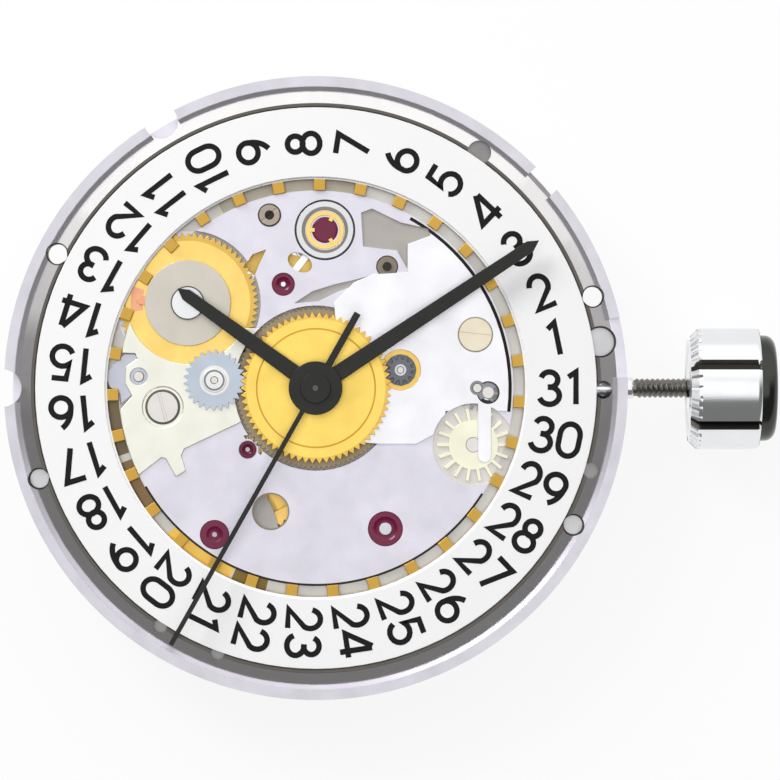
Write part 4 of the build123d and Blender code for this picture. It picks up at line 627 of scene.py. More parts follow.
def stroked(
    name: str, lines: list[list[Point]], width: float, level: float, thickness: float
) -> bpy.types.Object:
    """Flat strips of one width along plan lines, with mitred corners, in millimetres.

    Args:
        name: Name of the object.
        lines: Plan points of each line; a line that ends where it starts is closed.
        width: Width of the strips.
        level: Level of their middle.
        thickness: Thickness of the strips.

    Returns:
        The new object.
    """
    corners: list[tuple[float, float, float]] = []
    faces: list[tuple[int, int, int, int]] = []
    for order, line in enumerate(lines):
        height = level + (order % 3) * 0.5 * thickness
        points = [Vector(point) for point in line]
        loop = (points[0] - points[-1]).length < 1e-6
        if loop:
            points.pop()
        count = len(points)
        first = len(corners)
        for index, point in enumerate(points):
            runs = []
            if index or loop:
                runs.append((point - points[index - 1]).normalized())
            if index < count - 1 or loop:
                runs.append((points[(index + 1) % count] - point).normalized())
            along = sum(runs, Vector((0.0, 0.0))).normalized()
            square = Vector((-along.y, along.x))
            reach = width / 2 / max(0.5, square.dot(Vector((-runs[0].y, runs[0].x))))
            for side in (1, -1):
                corners.append((*(point + side * reach * square), height))
        for index in range(count if loop else count - 1):
            near = first + 2 * index
            far = first + 2 * ((index + 1) % count)
            faces.append((near, near + 1, far + 1, far))
    shape = bpy.data.meshes.new(name)
    shape.from_pydata(corners, [], faces)
    piece = bpy.data.objects.new(name, shape)
    bpy.context.scene.collection.objects.link(piece)
    take(piece)
    face_outward()
    apply_modifier(piece, "SOLIDIFY", thickness=thickness, offset=0.0)
    return piece


def wound_spring(
    name: str, at: Point, start: float, end: float, turns: float, low: float, top: float,
    thickness: float, begin: float = 0.0,
) -> bpy.types.Object:
    """Flat ribbon standing on edge and wound in a spiral, in millimetres.

    Args:
        name: Name of the object.
        at: Plan place of its axis.
        start: Inner radius.
        end: Outer radius.
        turns: Number of turns.
        low: Lower level.
        top: Upper level.
        thickness: Thickness of the ribbon.
        begin: Direction of its inner end in degrees.

    Returns:
        The new object.
    """
    steps = int(60 * turns)
    points = [
        polar(start + (end - start) * step / steps, begin + 360 * turns * step / steps, at)
        for step in range(steps + 1)
    ]
    piece = swept(name, points, (low + top) / 2)
    piece.data.extrude = (top - low) / 2
    take(piece)
    bpy.ops.object.convert(target="MESH")
    piece = bpy.context.object
    face_outward(merge=True)
    apply_modifier(piece, "SOLIDIFY", thickness=thickness, offset=0.0)
    return piece


@dataclass
class Part:
    """A CAD node, the finish it gets and the chamfer of its edges."""

    node: str
    finish: Finish
    chamfer: float = 0.02


@dataclass
class SubAssembly:
    """Pieces that belong together, built over the nodes of the frame."""

    frame: dict
    name: str = "movement"
    parts: tuple[Part, ...] = ()
    materials: dict[str, bpy.types.Material] = field(default_factory=dict)

    def body_of(self, node: str) -> str:
        """Finds the body that holds a node.

        Args:
            node: Name of the node.

        Returns:
            Name of the body.
        """
        groups = self.frame["record"]["behaviour"]["bodies"]
        return next(body for body, nodes in groups.items() if node in nodes)

    def material(self, finish: Finish) -> bpy.types.Material:
        """Makes the finish's material, once for each sub-assembly.

        Args:
            finish: The finish.

        Returns:
            Its material.
        """
        if finish.name not in self.materials:
            self.materials[finish.name] = finish.build()
        return self.materials[finish.name]

    def settle(
        self, piece: bpy.types.Object, node: str, finish: Finish, stands: bool = True,
        smooth: float = 30.0,
    ) -> bpy.types.Object:
        """Brings a piece from millimetres to metres, dresses it and puts it on its body.

        Args:
            piece: Object modelled in millimetres.
            node: CAD node that it belongs with.
            finish: Finish that it gets.
            stands: Whether it stands for that node.
            smooth: Angle in degrees under which its edges look smooth.

        Returns:
            The same piece.
        """
        take(piece)
        if smooth:
            bpy.ops.object.shade_smooth_by_angle(angle=math.radians(smooth))
            apply_modifier(piece, "WEIGHTED_NORMAL", mode="FACE_AREA", weight=80, keep_sharp=True)
        piece.scale = (MM, MM, MM)
        bpy.ops.object.transform_apply(location=True, rotation=True, scale=True)
        piece.data.materials.clear()
        piece.data.materials.append(self.material(finish))
        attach(piece, self.body_of(node))
        if stands:
            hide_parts(node)
        LOG.info("%s: %s, %d faces", self.name, piece.name, len(piece.data.polygons))
        return piece

    def chamfered(self, node: str, name: str, width: float) -> bpy.types.Object:
        """Copies a node in millimetres, merged, cleaned and with its edges chamfered.

        Args:
            node: CAD node that is copied.
            name: Name of the copy.
            width: Width of the chamfer, or 0 for none.

        Returns:
            The copy.
        """
        source = self.frame["nodes"][node]
        piece = bpy.data.objects.new(name, source.data.copy())
        bpy.context.scene.collection.objects.link(piece)
        take(piece)
        piece.scale = (1 / MM, 1 / MM, 1 / MM)
        bpy.ops.object.transform_apply(scale=True)
        bpy.ops.mesh.customdata_custom_splitnormals_clear()
        bpy.ops.object.mode_set(mode="EDIT")
        bpy.ops.mesh.select_all(action="SELECT")
        bpy.ops.mesh.remove_doubles(threshold=DOUBLES)
        bpy.ops.mesh.dissolve_limited(angle_limit=math.radians(FLAT_ANGLE))
        bpy.ops.object.mode_set(mode="OBJECT")
        if width:
            soften(piece, width)
        return piece

    def loose_solids(self, node: str) -> list[bpy.types.Object]:
        """Copies the solids of a node one by one, in a fixed order, in millimetres.

        Args:
            node: CAD node with several solids.

        Returns:
            One object for each solid.
        """
        take(self.chamfered(node, node + "_blank", 0.0))
        bpy.ops.mesh.separate(type="LOOSE")
        blanks = [piece for piece in bpy.context.selected_objects if piece.type == "MESH"]
        return sorted(blanks, key=lambda piece: tuple(piece.data.vertices[0].co))

    def build(self) -> None:
        """Builds every part of the sub-assembly."""
        for part in self.parts:
            piece = self.chamfered(part.node, part.node + "_finished", part.chamfer)
            self.settle(piece, part.node, part.finish)


STEEL = Finish("satin_steel", (0.62, 0.63, 0.66), 0.30, grain=Grain.SATIN)
DARK_STEEL = Finish("dark_steel", (0.30, 0.30, 0.33), 0.28, grain=Grain.SATIN)
BRIGHT_STEEL = Finish("polished_steel", (0.86, 0.87, 0.90), 0.16, grain=Grain.POLISHED, relief=0.4)
GILT = Finish("gilt", (0.97, 0.66, 0.19), 0.34, grain=Grain.TURNED, mottle=0.10)
DULL_BRASS = Finish("dull_brass", (0.42, 0.34, 0.22), 0.42, grain=Grain.TURNED, mottle=0.14)
RUBY = Finish("ruby", (0.17, 0.004, 0.045), 0.16, 0.0, Grain.POLISHED, relief=0.2,
              specular=0.42, mottle=0.3)
LACQUER = Finish("black_lacquer", (0.010, 0.011, 0.008), 0.30, 0.0, Grain.FROSTED, relief=0.5,
                 mottle=0.3, specular=0.36)
STRIPES = Finish("striped_bridge", (0.78, 0.78, 0.84), 0.28, grain=Grain.STRIPED, relief=5.0,
                 mottle=0.10)


@dataclass
class PlateAndJewels(SubAssembly):
    """Mainplate with its worked surfaces and the jewels set in it."""

    name: str = "plate"
    ruby_sides: int = 48
    hole_reach: float = 12.25
    shadow: Colour = (0.07, 0.065, 0.06)

    def trough_zones(self) -> list[Zone]:
        """Trough between the raised middle and the date ring, with brass seen below it and patches
        of painted shade.

        Returns:
            Zones in the order that they are laid.
        """
        trough = Zone((0.66, 0.64, 0.60), 0.40, inner=8.33, outer=9.25, low=-0.70, high=-0.50)
        # A brass patch, dark patches of painted shade at the left and lower left, and a greyer
        # patch at the top.
        patches = (
            ((0.88, 0.56, 0.12), 0.34, 235.0, 10.5),
            ((0.22, 0.15, 0.05), 0.34, 251.0, 5.0),
            ((0.24, 0.16, 0.08), 0.34, 208.0, 7.0),
            ((0.20, 0.16, 0.10), 0.40, 188.0, 11.0),
            ((0.46, 0.42, 0.34), 0.40, 97.0, 21.0),
        )
        return [replace(trough, inner=8.30), *(
            replace(trough, colour=colour, roughness=roughness, bearing=bearing, spread=spread)
            for colour, roughness, bearing, spread in patches
        )]

    def rim_zones(self) -> list[Zone]:
        """Tilted groove, its foot in painted shade, the rib painted nearly black as a shadow line,
        the flange and the blind holes between them, ringed with painted shade.

        Returns:
            Zones in the order that they are laid.
        """
        reach = self.hole_reach
        blind = ((polar(reach, 198.1), 0.44, 0.43), (polar(reach, -28.0), 0.44, 0.43),
                 (polar(12.12, 9.25), 0.66, 0.63))
        rings = [(at, line) for at, _, line in blind]
        rings += [(polar(reach, 152.6), 0.44), (polar(reach, 18.3), 0.44)]
        return [
            Zone((0.82, 0.80, 0.80), 0.11, inner=11.975, outer=12.675, high=-0.13, low=-0.45),
            # Painted shade: the groove's dark foot, then the rib nearly black as a shadow line.
            Zone((0.30, 0.29, 0.29), 0.30, inner=11.6, outer=13.1, high=-0.455, low=-0.90),
            Zone((0.13, 0.12, 0.11), 0.30, inner=11.80, outer=11.985, high=-0.1, low=-0.5),
            Zone((0.66, 0.645, 0.70), 0.30, inner=12.68, outer=13.2, high=0.1, low=-0.03),
            *[Zone((0.66, 0.66, 0.68), 0.35, centre=at, outer=outer, low=-0.90, high=-0.455)
              for at, outer, _ in blind],
            *[ring_mark(at, line, 0.07, self.shadow) for at, line in rings],
        ]

    def plate_finish(self) -> Finish:
        """Finish of the plate: frosted top, recesses darkened with painted shade and a turned
        groove.

        Returns:
            The finish with its zones.
        """
        left_post, right_post = spot(269.3, 214.6), spot(387.2, 266.1)
        zones = (
            # Recess floors darkened with painted shade, and the paler one of the corrector wheel.
            Zone((0.50, 0.47, 0.44), 0.45, high=-0.50, low=-1.03, outer=8.35),
            Zone((0.80, 0.77, 0.72), 0.40, high=-0.50, low=-0.70, outer=1.75,
                 centre=CORRECTOR_CENTRE),
            *self.trough_zones(),
            # Painted shade: dark lines along the edge of the raised middle, below and at the
            # right, and a dark disc at the cover post.
            Zone((0.05, 0.045, 0.04), 0.45, inner=8.235, outer=8.335, low=-0.70, high=-0.44,
                 bearing=268.8, spread=58.8),
            Zone((0.03, 0.03, 0.025), 0.45, inner=8.095, outer=8.235, low=-0.48, high=-0.44,
                 bearing=27.0, spread=34.0),
            Zone((0.03, 0.03, 0.03), 0.45, outer=0.42, low=-0.48, high=-0.44,
                 centre=COVER_POST_CENTRE),
            *self.rim_zones(),
            # Shaded rings round jewels, posts and the see-through hole.
            ring_mark(BALANCE_CENTRE, 1.24, 0.08, self.shadow),
            ring_mark(THIRD_CENTRE, 0.36, 0.05, (0.25, 0.2, 0.22)),
            ring_mark(left_post, 0.46, 0.07, (0.10, 0.08, 0.07)),
            ring_mark(right_post, 0.32, 0.26, (0.30, 0.25, 0.20)),
            ring_mark(right_post, 0.44, 0.05, (0.07, 0.06, 0.06)),
            ring_mark(spot(270.5, 511.6), 0.76, 0.06, (0.32, 0.28, 0.22)),
        )
        return Finish("mainplate_rhodium", (0.79, 0.77, 0.855), 0.38, grain=Grain.FROSTED,
                      relief=1.6, mottle=0.09, zones=zones)

    def jewel(
        self, name: str, at: Point, radius: float, hole: float, low: float, top: float
    ) -> bpy.types.Object:
        """Pierced jewel with a rounded rim and a dished oil sink.

        Args:
            name: Name of the jewel.
            at: Plan place of its axis.
            radius: Outer radius in millimetres.
            hole: Radius of its hole.
            low: Lower level.
            top: Upper level.

        Returns:
            The jewel in millimetres.
        """
        sink = hole + 0.52 * (radius - hole)
        dish = 0.42 * (top - low)
        profile = [
            (hole, low), (radius, low), (radius, top - 0.03), (radius - 0.03, top),
            (sink, top), (0.8 * sink + 0.2 * hole, top - 0.45 * dish),
            (0.45 * sink + 0.55 * hole, top - 0.85 * dish), (hole, top - dish), (hole, low),
        ]
        return turned(name, at, profile, self.ruby_sides)

    def build(self) -> None:
        """Chamfers the plate and turns its jewels."""
        plate = self.chamfered("mainplate", "mainplate_finished", 0.045)
        self.settle(plate, "mainplate", self.plate_finish())
        low, top = -0.63, -0.47
        stones = [
            self.jewel("third_jewel", THIRD_CENTRE, 0.35, 0.11, -0.64, -0.46),
            self.jewel("great_jewel", GREAT_CENTRE, 0.62, 0.11, low, top),
            self.jewel("barrel_jewel", BARREL_CENTRE, 0.74, 0.27, low, top),
            self.jewel("fork_jewel", FORK_CENTRE, 0.49, 0.11, low, top),
            self.jewel("escape_jewel", ESCAPE_CENTRE, 0.28, 0.11, -1.05, -0.89),
            turned("balance_cap_jewel", BALANCE_CENTRE, [
                (0.55, -0.63), (0.55, -0.575), (0.50, -0.545), (0.34, -0.54), (0.1, -0.54),
            ], self.ruby_sides),
        ]
        self.settle(joined("dial_jewels_cut", stones), "dial_side_jewels", RUBY)


@dataclass
class DateNumerals:
    """Strokes of the printed numbers, each digit in a box one wide and one high."""

    stroke: float = 0.235
    digit_width: float = 0.84
    digit_height: float = 1.36
    advance: float = 1.15
    narrow: float = 0.92
    reach: float = 10.28
    level: float = -0.118
    thickness: float = 0.006
    count: int = 31

    @staticmethod
    def arc(
        centre: Point, across: float, up: float, start: float, end: float, steps: int = 14
    ) -> list[Point]:
        """Points of an elliptical arc.

        Args:
            centre: Middle of the ellipse.
            across: Half its width.
            up: Half its height.
            start: First angle in degrees.
            end: Last angle in degrees.
            steps: Number of steps between them.

        Returns:
            The points in order.
        """
        turns = [math.radians(start + (end - start) * step / steps) for step in range(steps + 1)]
        return [(centre[0] + across * math.cos(turn), centre[1] + up * math.sin(turn))
                for turn in turns]

    def strokes(self, digit: str) -> list[list[Point]]:
        """Lines that draw one digit.

        Args:
            digit: Character from 0 to 9.

        Returns:
            Each line as points in the digit's box.
        """
        arc = self.arc
        six = [
            arc((0.5, 0.30), 0.5, 0.30, 0, 360, 28),
            arc((1.0, 0.34), 0.98, 0.68, 182, 118, 10),
        ]
        forms = {
            "0": [[*arc((0.5, 0.66), 0.5, 0.34, 0, 180), *arc((0.5, 0.34), 0.5, 0.34, 180, 360),
                   (1.0, 0.66)]],
            "1": [[(0.20, 0.84), (0.58, 1.0), (0.58, 0.0)]],
            "2": [[*arc((0.5, 0.68), 0.47, 0.32, 170, -32), (0.04, 0.0), (1.0, 0.0)]],
            "3": [[*arc((0.48, 0.76), 0.42, 0.24, 165, -80), (0.40, 0.53)],
                  [(0.40, 0.53), *arc((0.48, 0.27), 0.50, 0.27, 80, -165)]],
            "4": [[(1.14, 0.24), (-0.07, 0.24), (0.74, 1.02)], [(0.82, 1.0), (0.82, 0.0)]],
            "5": [[(0.92, 1.0), (0.20, 1.0), (0.10, 0.52),
                   *arc((0.48, 0.31), 0.52, 0.31, 130, -160)]],
            "6": six,
            "7": [[(0.02, 1.0), (1.0, 1.0), (0.34, 0.0)]],
            "8": [arc((0.5, 0.76), 0.40, 0.24, 0, 360, 28),
                  arc((0.5, 0.27), 0.5, 0.27, 0, 360, 28)],
            "9": [[(1 - x, 1 - y) for x, y in line] for line in six],
        }
        return forms[digit]

    def build(self) -> bpy.types.Object:
        """Lays the numbers round the ring, each read outwards along its own radius.

        Returns:
            One object in millimetres with every number.
        """
        lines: list[list[Point]] = []
        for number in range(1, self.count + 1):
            text = str(number)
            turn = 360 * number / self.count
            pitches = [self.narrow if digit == "1" else self.advance for digit in text]
            for index, digit in enumerate(text):
                start = self.reach - sum(pitches) / 2 + sum(pitches[:index])
                start += (pitches[index] - self.digit_width) / 2
                for line in self.strokes(digit):
                    placed = []
                    for x, y in line:
                        out = start + x * self.digit_width
                        side = (y - 0.5) * self.digit_height
                        near = polar(out, turn)
                        placed.append(polar(side, turn + 90, near))
                    lines.append(placed)
        return stroked("date_numerals", lines, self.stroke, self.level, self.thickness)


@dataclass
class Calendar(SubAssembly):
    """Date ring with its numbers, the wheels that drive it and their cover plates."""

    name: str = "calendar"

    def build(self) -> None:
        """Dresses the date ring, prints its numbers and finishes the calendar's pieces."""
        enamel = Finish(
            "date_ring_enamel", (0.96, 0.96, 0.96), 0.40, 0.0, Grain.FROSTED, relief=0.3,
            mottle=0.012,
            zones=(Zone((0.66, 0.40, 0.08), 0.40, outer=8.785, high=-0.10),),
        )
        driving = Finish(
            "date_wheel_gilt", (0.97, 0.68, 0.20), 0.30, centre=DATE_WHEEL_CENTRE,
            grain=Grain.TURNED, mottle=0.12,
            zones=(Zone((0.80, 0.52, 0.12), 0.38, centre=DATE_WHEEL_CENTRE, inner=2.62),
                   Zone((0.93, 0.47, 0.27), 0.38, centre=DATE_WHEEL_CENTRE, inner=1.9,
                        outer=2.42, bearing=176.0, spread=13.0)),
        )
        intermediate = Finish(
            "intermediate_steel", (0.53, 0.59, 0.68), 0.34, centre=INTERMEDIATE_CENTRE,
            grain=Grain.TURNED,
            zones=(Zone((0.80, 0.80, 0.78), 0.30, centre=INTERMEDIATE_CENTRE, outer=0.62),
                   Zone((0.22, 0.24, 0.28), 0.30, centre=INTERMEDIATE_CENTRE, inner=0.36,
                        outer=0.44)),
        )
        self.parts = (
            Part("date_ring", enamel, 0.03),
            Part("date_driving_wheel", driving, 0.015),
            Part("date_finger", Finish("copper_finger", (0.86, 0.42, 0.24), 0.32), 0.01),
            Part("date_disc", Finish("grey_disc", (0.68, 0.645, 0.56), 0.42, grain=Grain.TURNED,
                                     centre=DATE_WHEEL_CENTRE), 0.012),
            Part("intermediate_date_wheel", intermediate, 0.012),
            Part("date_jumper", Finish("jumper_steel", (0.55, 0.57, 0.64), 0.32,
                                       grain=Grain.SATIN), 0.012),
            Part("jumper_cover_plate", Finish(
                "cream_nickel", (0.90, 0.90, 0.80), 0.36, relief=1.4,
                # Painted shade: a dark ring on the jumper cover.
                zones=(ring_mark(spot(162.4, 407), 0.69, 0.10, (0.16, 0.15, 0.13)),),
            ), 0.05),
            Part("calendar_cover_plate", Finish(
                "silver_cover", (0.93, 0.93, 0.97), 0.34, relief=1.0,
                # Painted shade: rings round the cover's screw and, nearly black, round its post.
                zones=(ring_mark(spot(475.6, 334.4), 0.725, 0.05, (0.55, 0.50, 0.40)),
                       ring_mark(COVER_POST_CENTRE, 0.40, 0.16, (0.05, 0.05, 0.05))),
            ), 0.05),
            Part("corrector_wheel", Finish("cream_gilt", (0.93, 0.91, 0.72), 0.34,
                                           grain=Grain.TURNED, centre=CORRECTOR_CENTRE), 0.012),
        )
        super().build()
        ink = Finish("printing_ink", (0.010, 0.010, 0.010), 0.5, 0.0, Grain.FROSTED, mottle=0.3,
                     relief=0.3, specular=0.15)
        numerals = DateNumerals().build()
        self.settle(numerals, "date_ring", ink, stands=False, smooth=0)


@dataclass
class MotionWork(SubAssembly):
    """Wheels that carry the hour and minute hands, and the hands."""

    name: str = "motion"

    def build(self) -> None:
        """Finishes the wheels on the hands' axis, the minute wheel and the three hands."""
        hour = Finish(
            "hour_wheel_gilt", (0.98, 0.70, 0.16), 0.30, grain=Grain.TURNED, mottle=0.10,
            # Painted shade: the thin dark ring at 2.455 to 2.525 mm.
            zones=(Zone((0.72, 0.38, 0.06), 0.40, inner=2.455, outer=2.525),
                   Zone((0.90, 0.58, 0.12), 0.36, inner=2.92),
                   Zone((0.55, 0.36, 0.10), 0.30, outer=1.0, high=-0.10)),
        )
        minute = Finish(
            "minute_wheel_gilt", (0.93, 0.62, 0.16), 0.32, centre=MINUTE_CENTRE,
            grain=Grain.TURNED,
            zones=(Zone((0.16, 0.17, 0.19), 0.30, centre=MINUTE_CENTRE, outer=0.66),
                   Zone((0.62, 0.62, 0.62), 0.25, centre=MINUTE_CENTRE, outer=0.24)),
        )
        self.parts = (
            Part("hour_wheel", hour, 0.015),
            Part("cannon_pinion", BRIGHT_STEEL, 0.012),
            Part("cannon_driving_wheel", DULL_BRASS, 0.012),
            Part("minute_wheel", minute, 0.012),
            Part("setting_wheel", DARK_STEEL, 0.012),
            Part("centre_tube", GILT, 0.01),
            Part("hour_hand", LACQUER, 0.035),
            Part("minute_hand", LACQUER, 0.030),
            Part("seconds_hand", LACQUER, 0.022),
        )
        super().build()


@dataclass
class DialFasteners(SubAssembly):
    """Screws and posts of the dial side."""

    name: str = "fasteners"

    def build(self) -> None:
        """Finishes the screws and posts, warm on the cover, bright on the date wheel, with a ring
        of painted shade round the date wheel's screw.
        """
        finish = Finish(
            "screw_steel", (0.70, 0.67, 0.64), 0.26, grain=Grain.SATIN, mottle=0.05,
            zones=(
                Zone((0.74, 0.75, 0.76), 0.22, centre=DATE_WHEEL_CENTRE, outer=1.2),
                # Painted shade: a dark ring round the date wheel's screw head.
                Zone((0.10, 0.10, 0.10), 0.30, centre=DATE_WHEEL_CENTRE, inner=0.655, outer=0.8),
                Zone((0.80, 0.72, 0.56), 0.30, centre=spot(475.6, 334.3), outer=0.9),
                Zone((0.42, 0.36, 0.30), 0.34, centre=spot(269.3, 214.6), outer=0.6),
                Zone((0.04, 0.035, 0.03), 0.34, centre=spot(269.3, 214.6), outer=0.20),
                Zone((0.05, 0.045, 0.04), 0.34, centre=spot(387.2, 266.1), outer=0.5),
            ),
        )
        self.parts = (Part("dial_side_screws", finish, 0.02),)
        super().build()


@dataclass
class GoingTrain(SubAssembly):
    """Wheels between the barrel and the escapement."""

    name: str = "train"

    def build(self) -> None:
        """Finishes the great, third, seconds and escape wheels."""
        pivot: Colour = (0.42, 0.42, 0.44)
        great = Finish(
            "great_wheel_gilt", (0.93, 0.60, 0.16), 0.34, centre=GREAT_CENTRE,
            grain=Grain.TURNED,
            zones=(Zone(pivot, 0.2, centre=GREAT_CENTRE, outer=0.3, low=-1.1),),
        )
        third = Finish(
            "third_wheel_gilt", (0.93, 0.62, 0.18), 0.34, centre=THIRD_CENTRE,
            grain=Grain.TURNED,
            zones=(Zone(pivot, 0.2, centre=THIRD_CENTRE, outer=1.0, low=-1.1),),
        )
        self.parts = (
            Part("great_wheel", great, 0.012),
            Part("third_wheel", third, 0.012),
            Part("seconds_wheel", Finish(
                "seconds_wheel_gilt", (0.93, 0.62, 0.18), 0.34, grain=Grain.TURNED,
                zones=(Zone((0.10, 0.10, 0.10), 0.25, outer=0.60, low=-0.3),),
            ), 0.012),
            Part("escape_wheel", STEEL, 0.01),
        )
        super().build()


@dataclass
class BarrelWork(SubAssembly):
    """Barrel with its spring, and the winding wheels above it."""

    name: str = "barrel"
    spring_turns: float = 9.0
    inner_share: float = 0.52
    ribbon: float = 0.10

    def build(self) -> None:
        """Finishes the barrel and winds the mainspring as a coil inside it."""
        ratchet = Finish("ratchet_sunburst", (0.74, 0.75, 0.80), 0.24, grain=Grain.SUNBURST,
                         centre=BARREL_CENTRE, relief=2.0)
        winding = Finish("crown_wheel_sunburst", (0.74, 0.75, 0.80), 0.24,
                         grain=Grain.SUNBURST, centre=CROWN_WHEEL_CENTRE, relief=2.0)
        drum = Finish("barrel_gilt", (0.93, 0.64, 0.22), 0.34, grain=Grain.TURNED,
                      centre=BARREL_CENTRE)
        self.parts = (
            Part("barrel_drum", drum, 0.02),
            Part("barrel_cover", drum, 0.015),
            Part("barrel_arbor", STEEL, 0.012),
            Part("ratchet_wheel", ratchet, 0.02),
            Part("crown_wheel", winding, 0.02),
            Part("click", BRIGHT_STEEL, 0.015),
        )
        super().build()
        low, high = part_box("mainspring")
        outer = (high[0] - low[0]) / 2 / MM
        centre = ((low[0] + high[0]) / 2 / MM, (low[1] + high[1]) / 2 / MM)
        spring = wound_spring(
            "mainspring_coil", centre, self.inner_share * outer, outer - self.ribbon,
            self.spring_turns, low[2] / MM, high[2] / MM, self.ribbon,
        )
        self.settle(spring, "mainspring", DARK_STEEL)


@dataclass
class Balance(SubAssembly):
    """Escapement, balance, hairspring, its cock and the shock settings."""

    name: str = "balance"
    spring_turns: float = 12.0
    inner_coil: float = 0.48
    outer_coil: float = 2.46
    ribbon: float = 0.035

    def build(self) -> None:
        """Finishes the escapement and balance and winds the hairspring in many turns."""
        rim = Finish("balance_gilt", (0.92, 0.70, 0.30), 0.24, grain=Grain.TURNED,
                     centre=BALANCE_CENTRE)
        setting = Finish(
            "shock_steel", (0.66, 0.67, 0.68), 0.20, grain=Grain.TURNED, centre=BALANCE_CENTRE,
            # Painted shade: a dark ring round the edge of the shock setting.
            zones=(Zone((0.24, 0.22, 0.20), 0.30, centre=BALANCE_CENTRE, inner=0.86, outer=0.98),),
        )
        spring_gilt = Finish("shock_spring_gilt", (0.93, 0.62, 0.20), 0.22,
                             grain=Grain.POLISHED, relief=0.5)
        self.parts = (
            Part("pallet_fork", BRIGHT_STEEL, 0.012),
            Part("pallet_stones", RUBY, 0.006),
            Part("pallet_bridge", GILT, 0.02),
            Part("balance_wheel", rim, 0.02),
            Part("roller", STEEL, 0.01),
            Part("balance_cock", STRIPES, 0.03),
            Part("regulator", BRIGHT_STEEL, 0.015),
            Part("shock_settings", setting, 0.015),
            Part("shock_springs", spring_gilt, 0.008),
        )
        super().build()
        low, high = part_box("hairspring")
        stud = spot(449.4, 173.7)
        heading = math.degrees(math.atan2(stud[1] - BALANCE_CENTRE[1],
                                          stud[0] - BALANCE_CENTRE[0]))
        spring = wound_spring(
            "hairspring_coil", BALANCE_CENTRE, self.inner_coil, self.outer_coil,
            self.spring_turns, low[2] / MM, high[2] / MM, self.ribbon, heading,
        )
        blued = Finish("hairspring_alloy", (0.36, 0.42, 0.56), 0.24, grain=Grain.POLISHED,
                       relief=0.3)
        self.settle(spring, "hairspring", blued)


@dataclass
class Bridges(SubAssembly):
    """Bridges of the train side with their jewels and screws."""

    name: str = "bridges"
    slot_turn: float = 37.0

    def screws(self) -> list[bpy.types.Object]:
        """Slotted heads, one for each solid of the CAD screws.

        Returns:
            The screws in millimetres.
        """
        made: list[bpy.types.Object] = []
        for index, blank in enumerate(self.loose_solids("bridge_screws")):
            corners = [vertex.co for vertex in blank.data.vertices]
            left, front, low = (min(axis) for axis in zip(*corners))
            right, back, top = (max(axis) for axis in zip(*corners))
            at = ((left + right) / 2, (front + back) / 2)
            angle = self.slot_turn * index
            made.append(slotted(f"screw_{index}", at, (right - left) / 2, low, top, angle, True))
            bpy.data.objects.remove(blank)
        return made

    def build(self) -> None:
        """Finishes the bridges and their jewels and cuts the screw slots."""
        self.parts = (
            Part("train_bridge", STRIPES, 0.04),
            Part("barrel_bridge", STRIPES, 0.04),
            Part("automatic_bridge", STRIPES, 0.04),
            Part("bridge_jewels", RUBY, 0.03),
        )
        super().build()
        screws = joined("bridge_screws_slotted", self.screws())
        self.settle(screws, "bridge_screws", Finish("blued_screws", (0.60, 0.62, 0.68), 0.2,
                                                    grain=Grain.SATIN))


@dataclass
class AutomaticWork(SubAssembly):
    """Rotor, its ball bearing and the wheels that pass its turning to the barrel."""

    name: str = "automatic"
    ball_radius: float = 0.158

    def bearing(self) -> bpy.types.Object:
        """Bearing rings as they are, with a round ball for each short CAD prism.

        Returns:
            The bearing in millimetres.
        """
        made: list[bpy.types.Object] = []
        for index, blank in enumerate(self.loose_solids("rotor_bearing")):
            if max(blank.dimensions) > 4 * self.ball_radius:
                soften(blank, 0.02)
                made.append(blank)
                continue
            corners = [vertex.co for vertex in blank.data.vertices]
            middle = sum(corners, Vector()) / len(corners)
            clear_selection()
            bpy.ops.mesh.primitive_uv_sphere_add(segments=20, ring_count=12,
                                                 radius=self.ball_radius, location=middle)
            ball = bpy.context.object
            ball.name = f"bearing_ball_{index}"
            bpy.ops.object.transform_apply(location=True)
            made.append(ball)
            bpy.data.objects.remove(blank)
        return joined("rotor_bearing_finished", made)

    def build(self) -> None:
        """Finishes the rotor and its wheels and makes the bearing's balls round."""
        red = Finish("reverser_red", (0.72, 0.20, 0.13), 0.30, grain=Grain.TURNED)
        weight = Finish("rotor_weight_satin", (0.60, 0.60, 0.63), 0.34, grain=Grain.TURNED,
                        relief=3.0, mottle=0.10)
        self.parts = (
            Part("first_reverser", red, 0.012),
            Part("second_reverser", red, 0.012),
            Part("reduction_wheel", GILT, 0.012),
            Part("rotor_gear", STEEL, 0.012),
            Part("rotor_plate", STRIPES, 0.04),
            Part("rotor_weight", weight, 0.06),
        )
        super().build()
        self.settle(self.bearing(), "rotor_bearing", BRIGHT_STEEL)


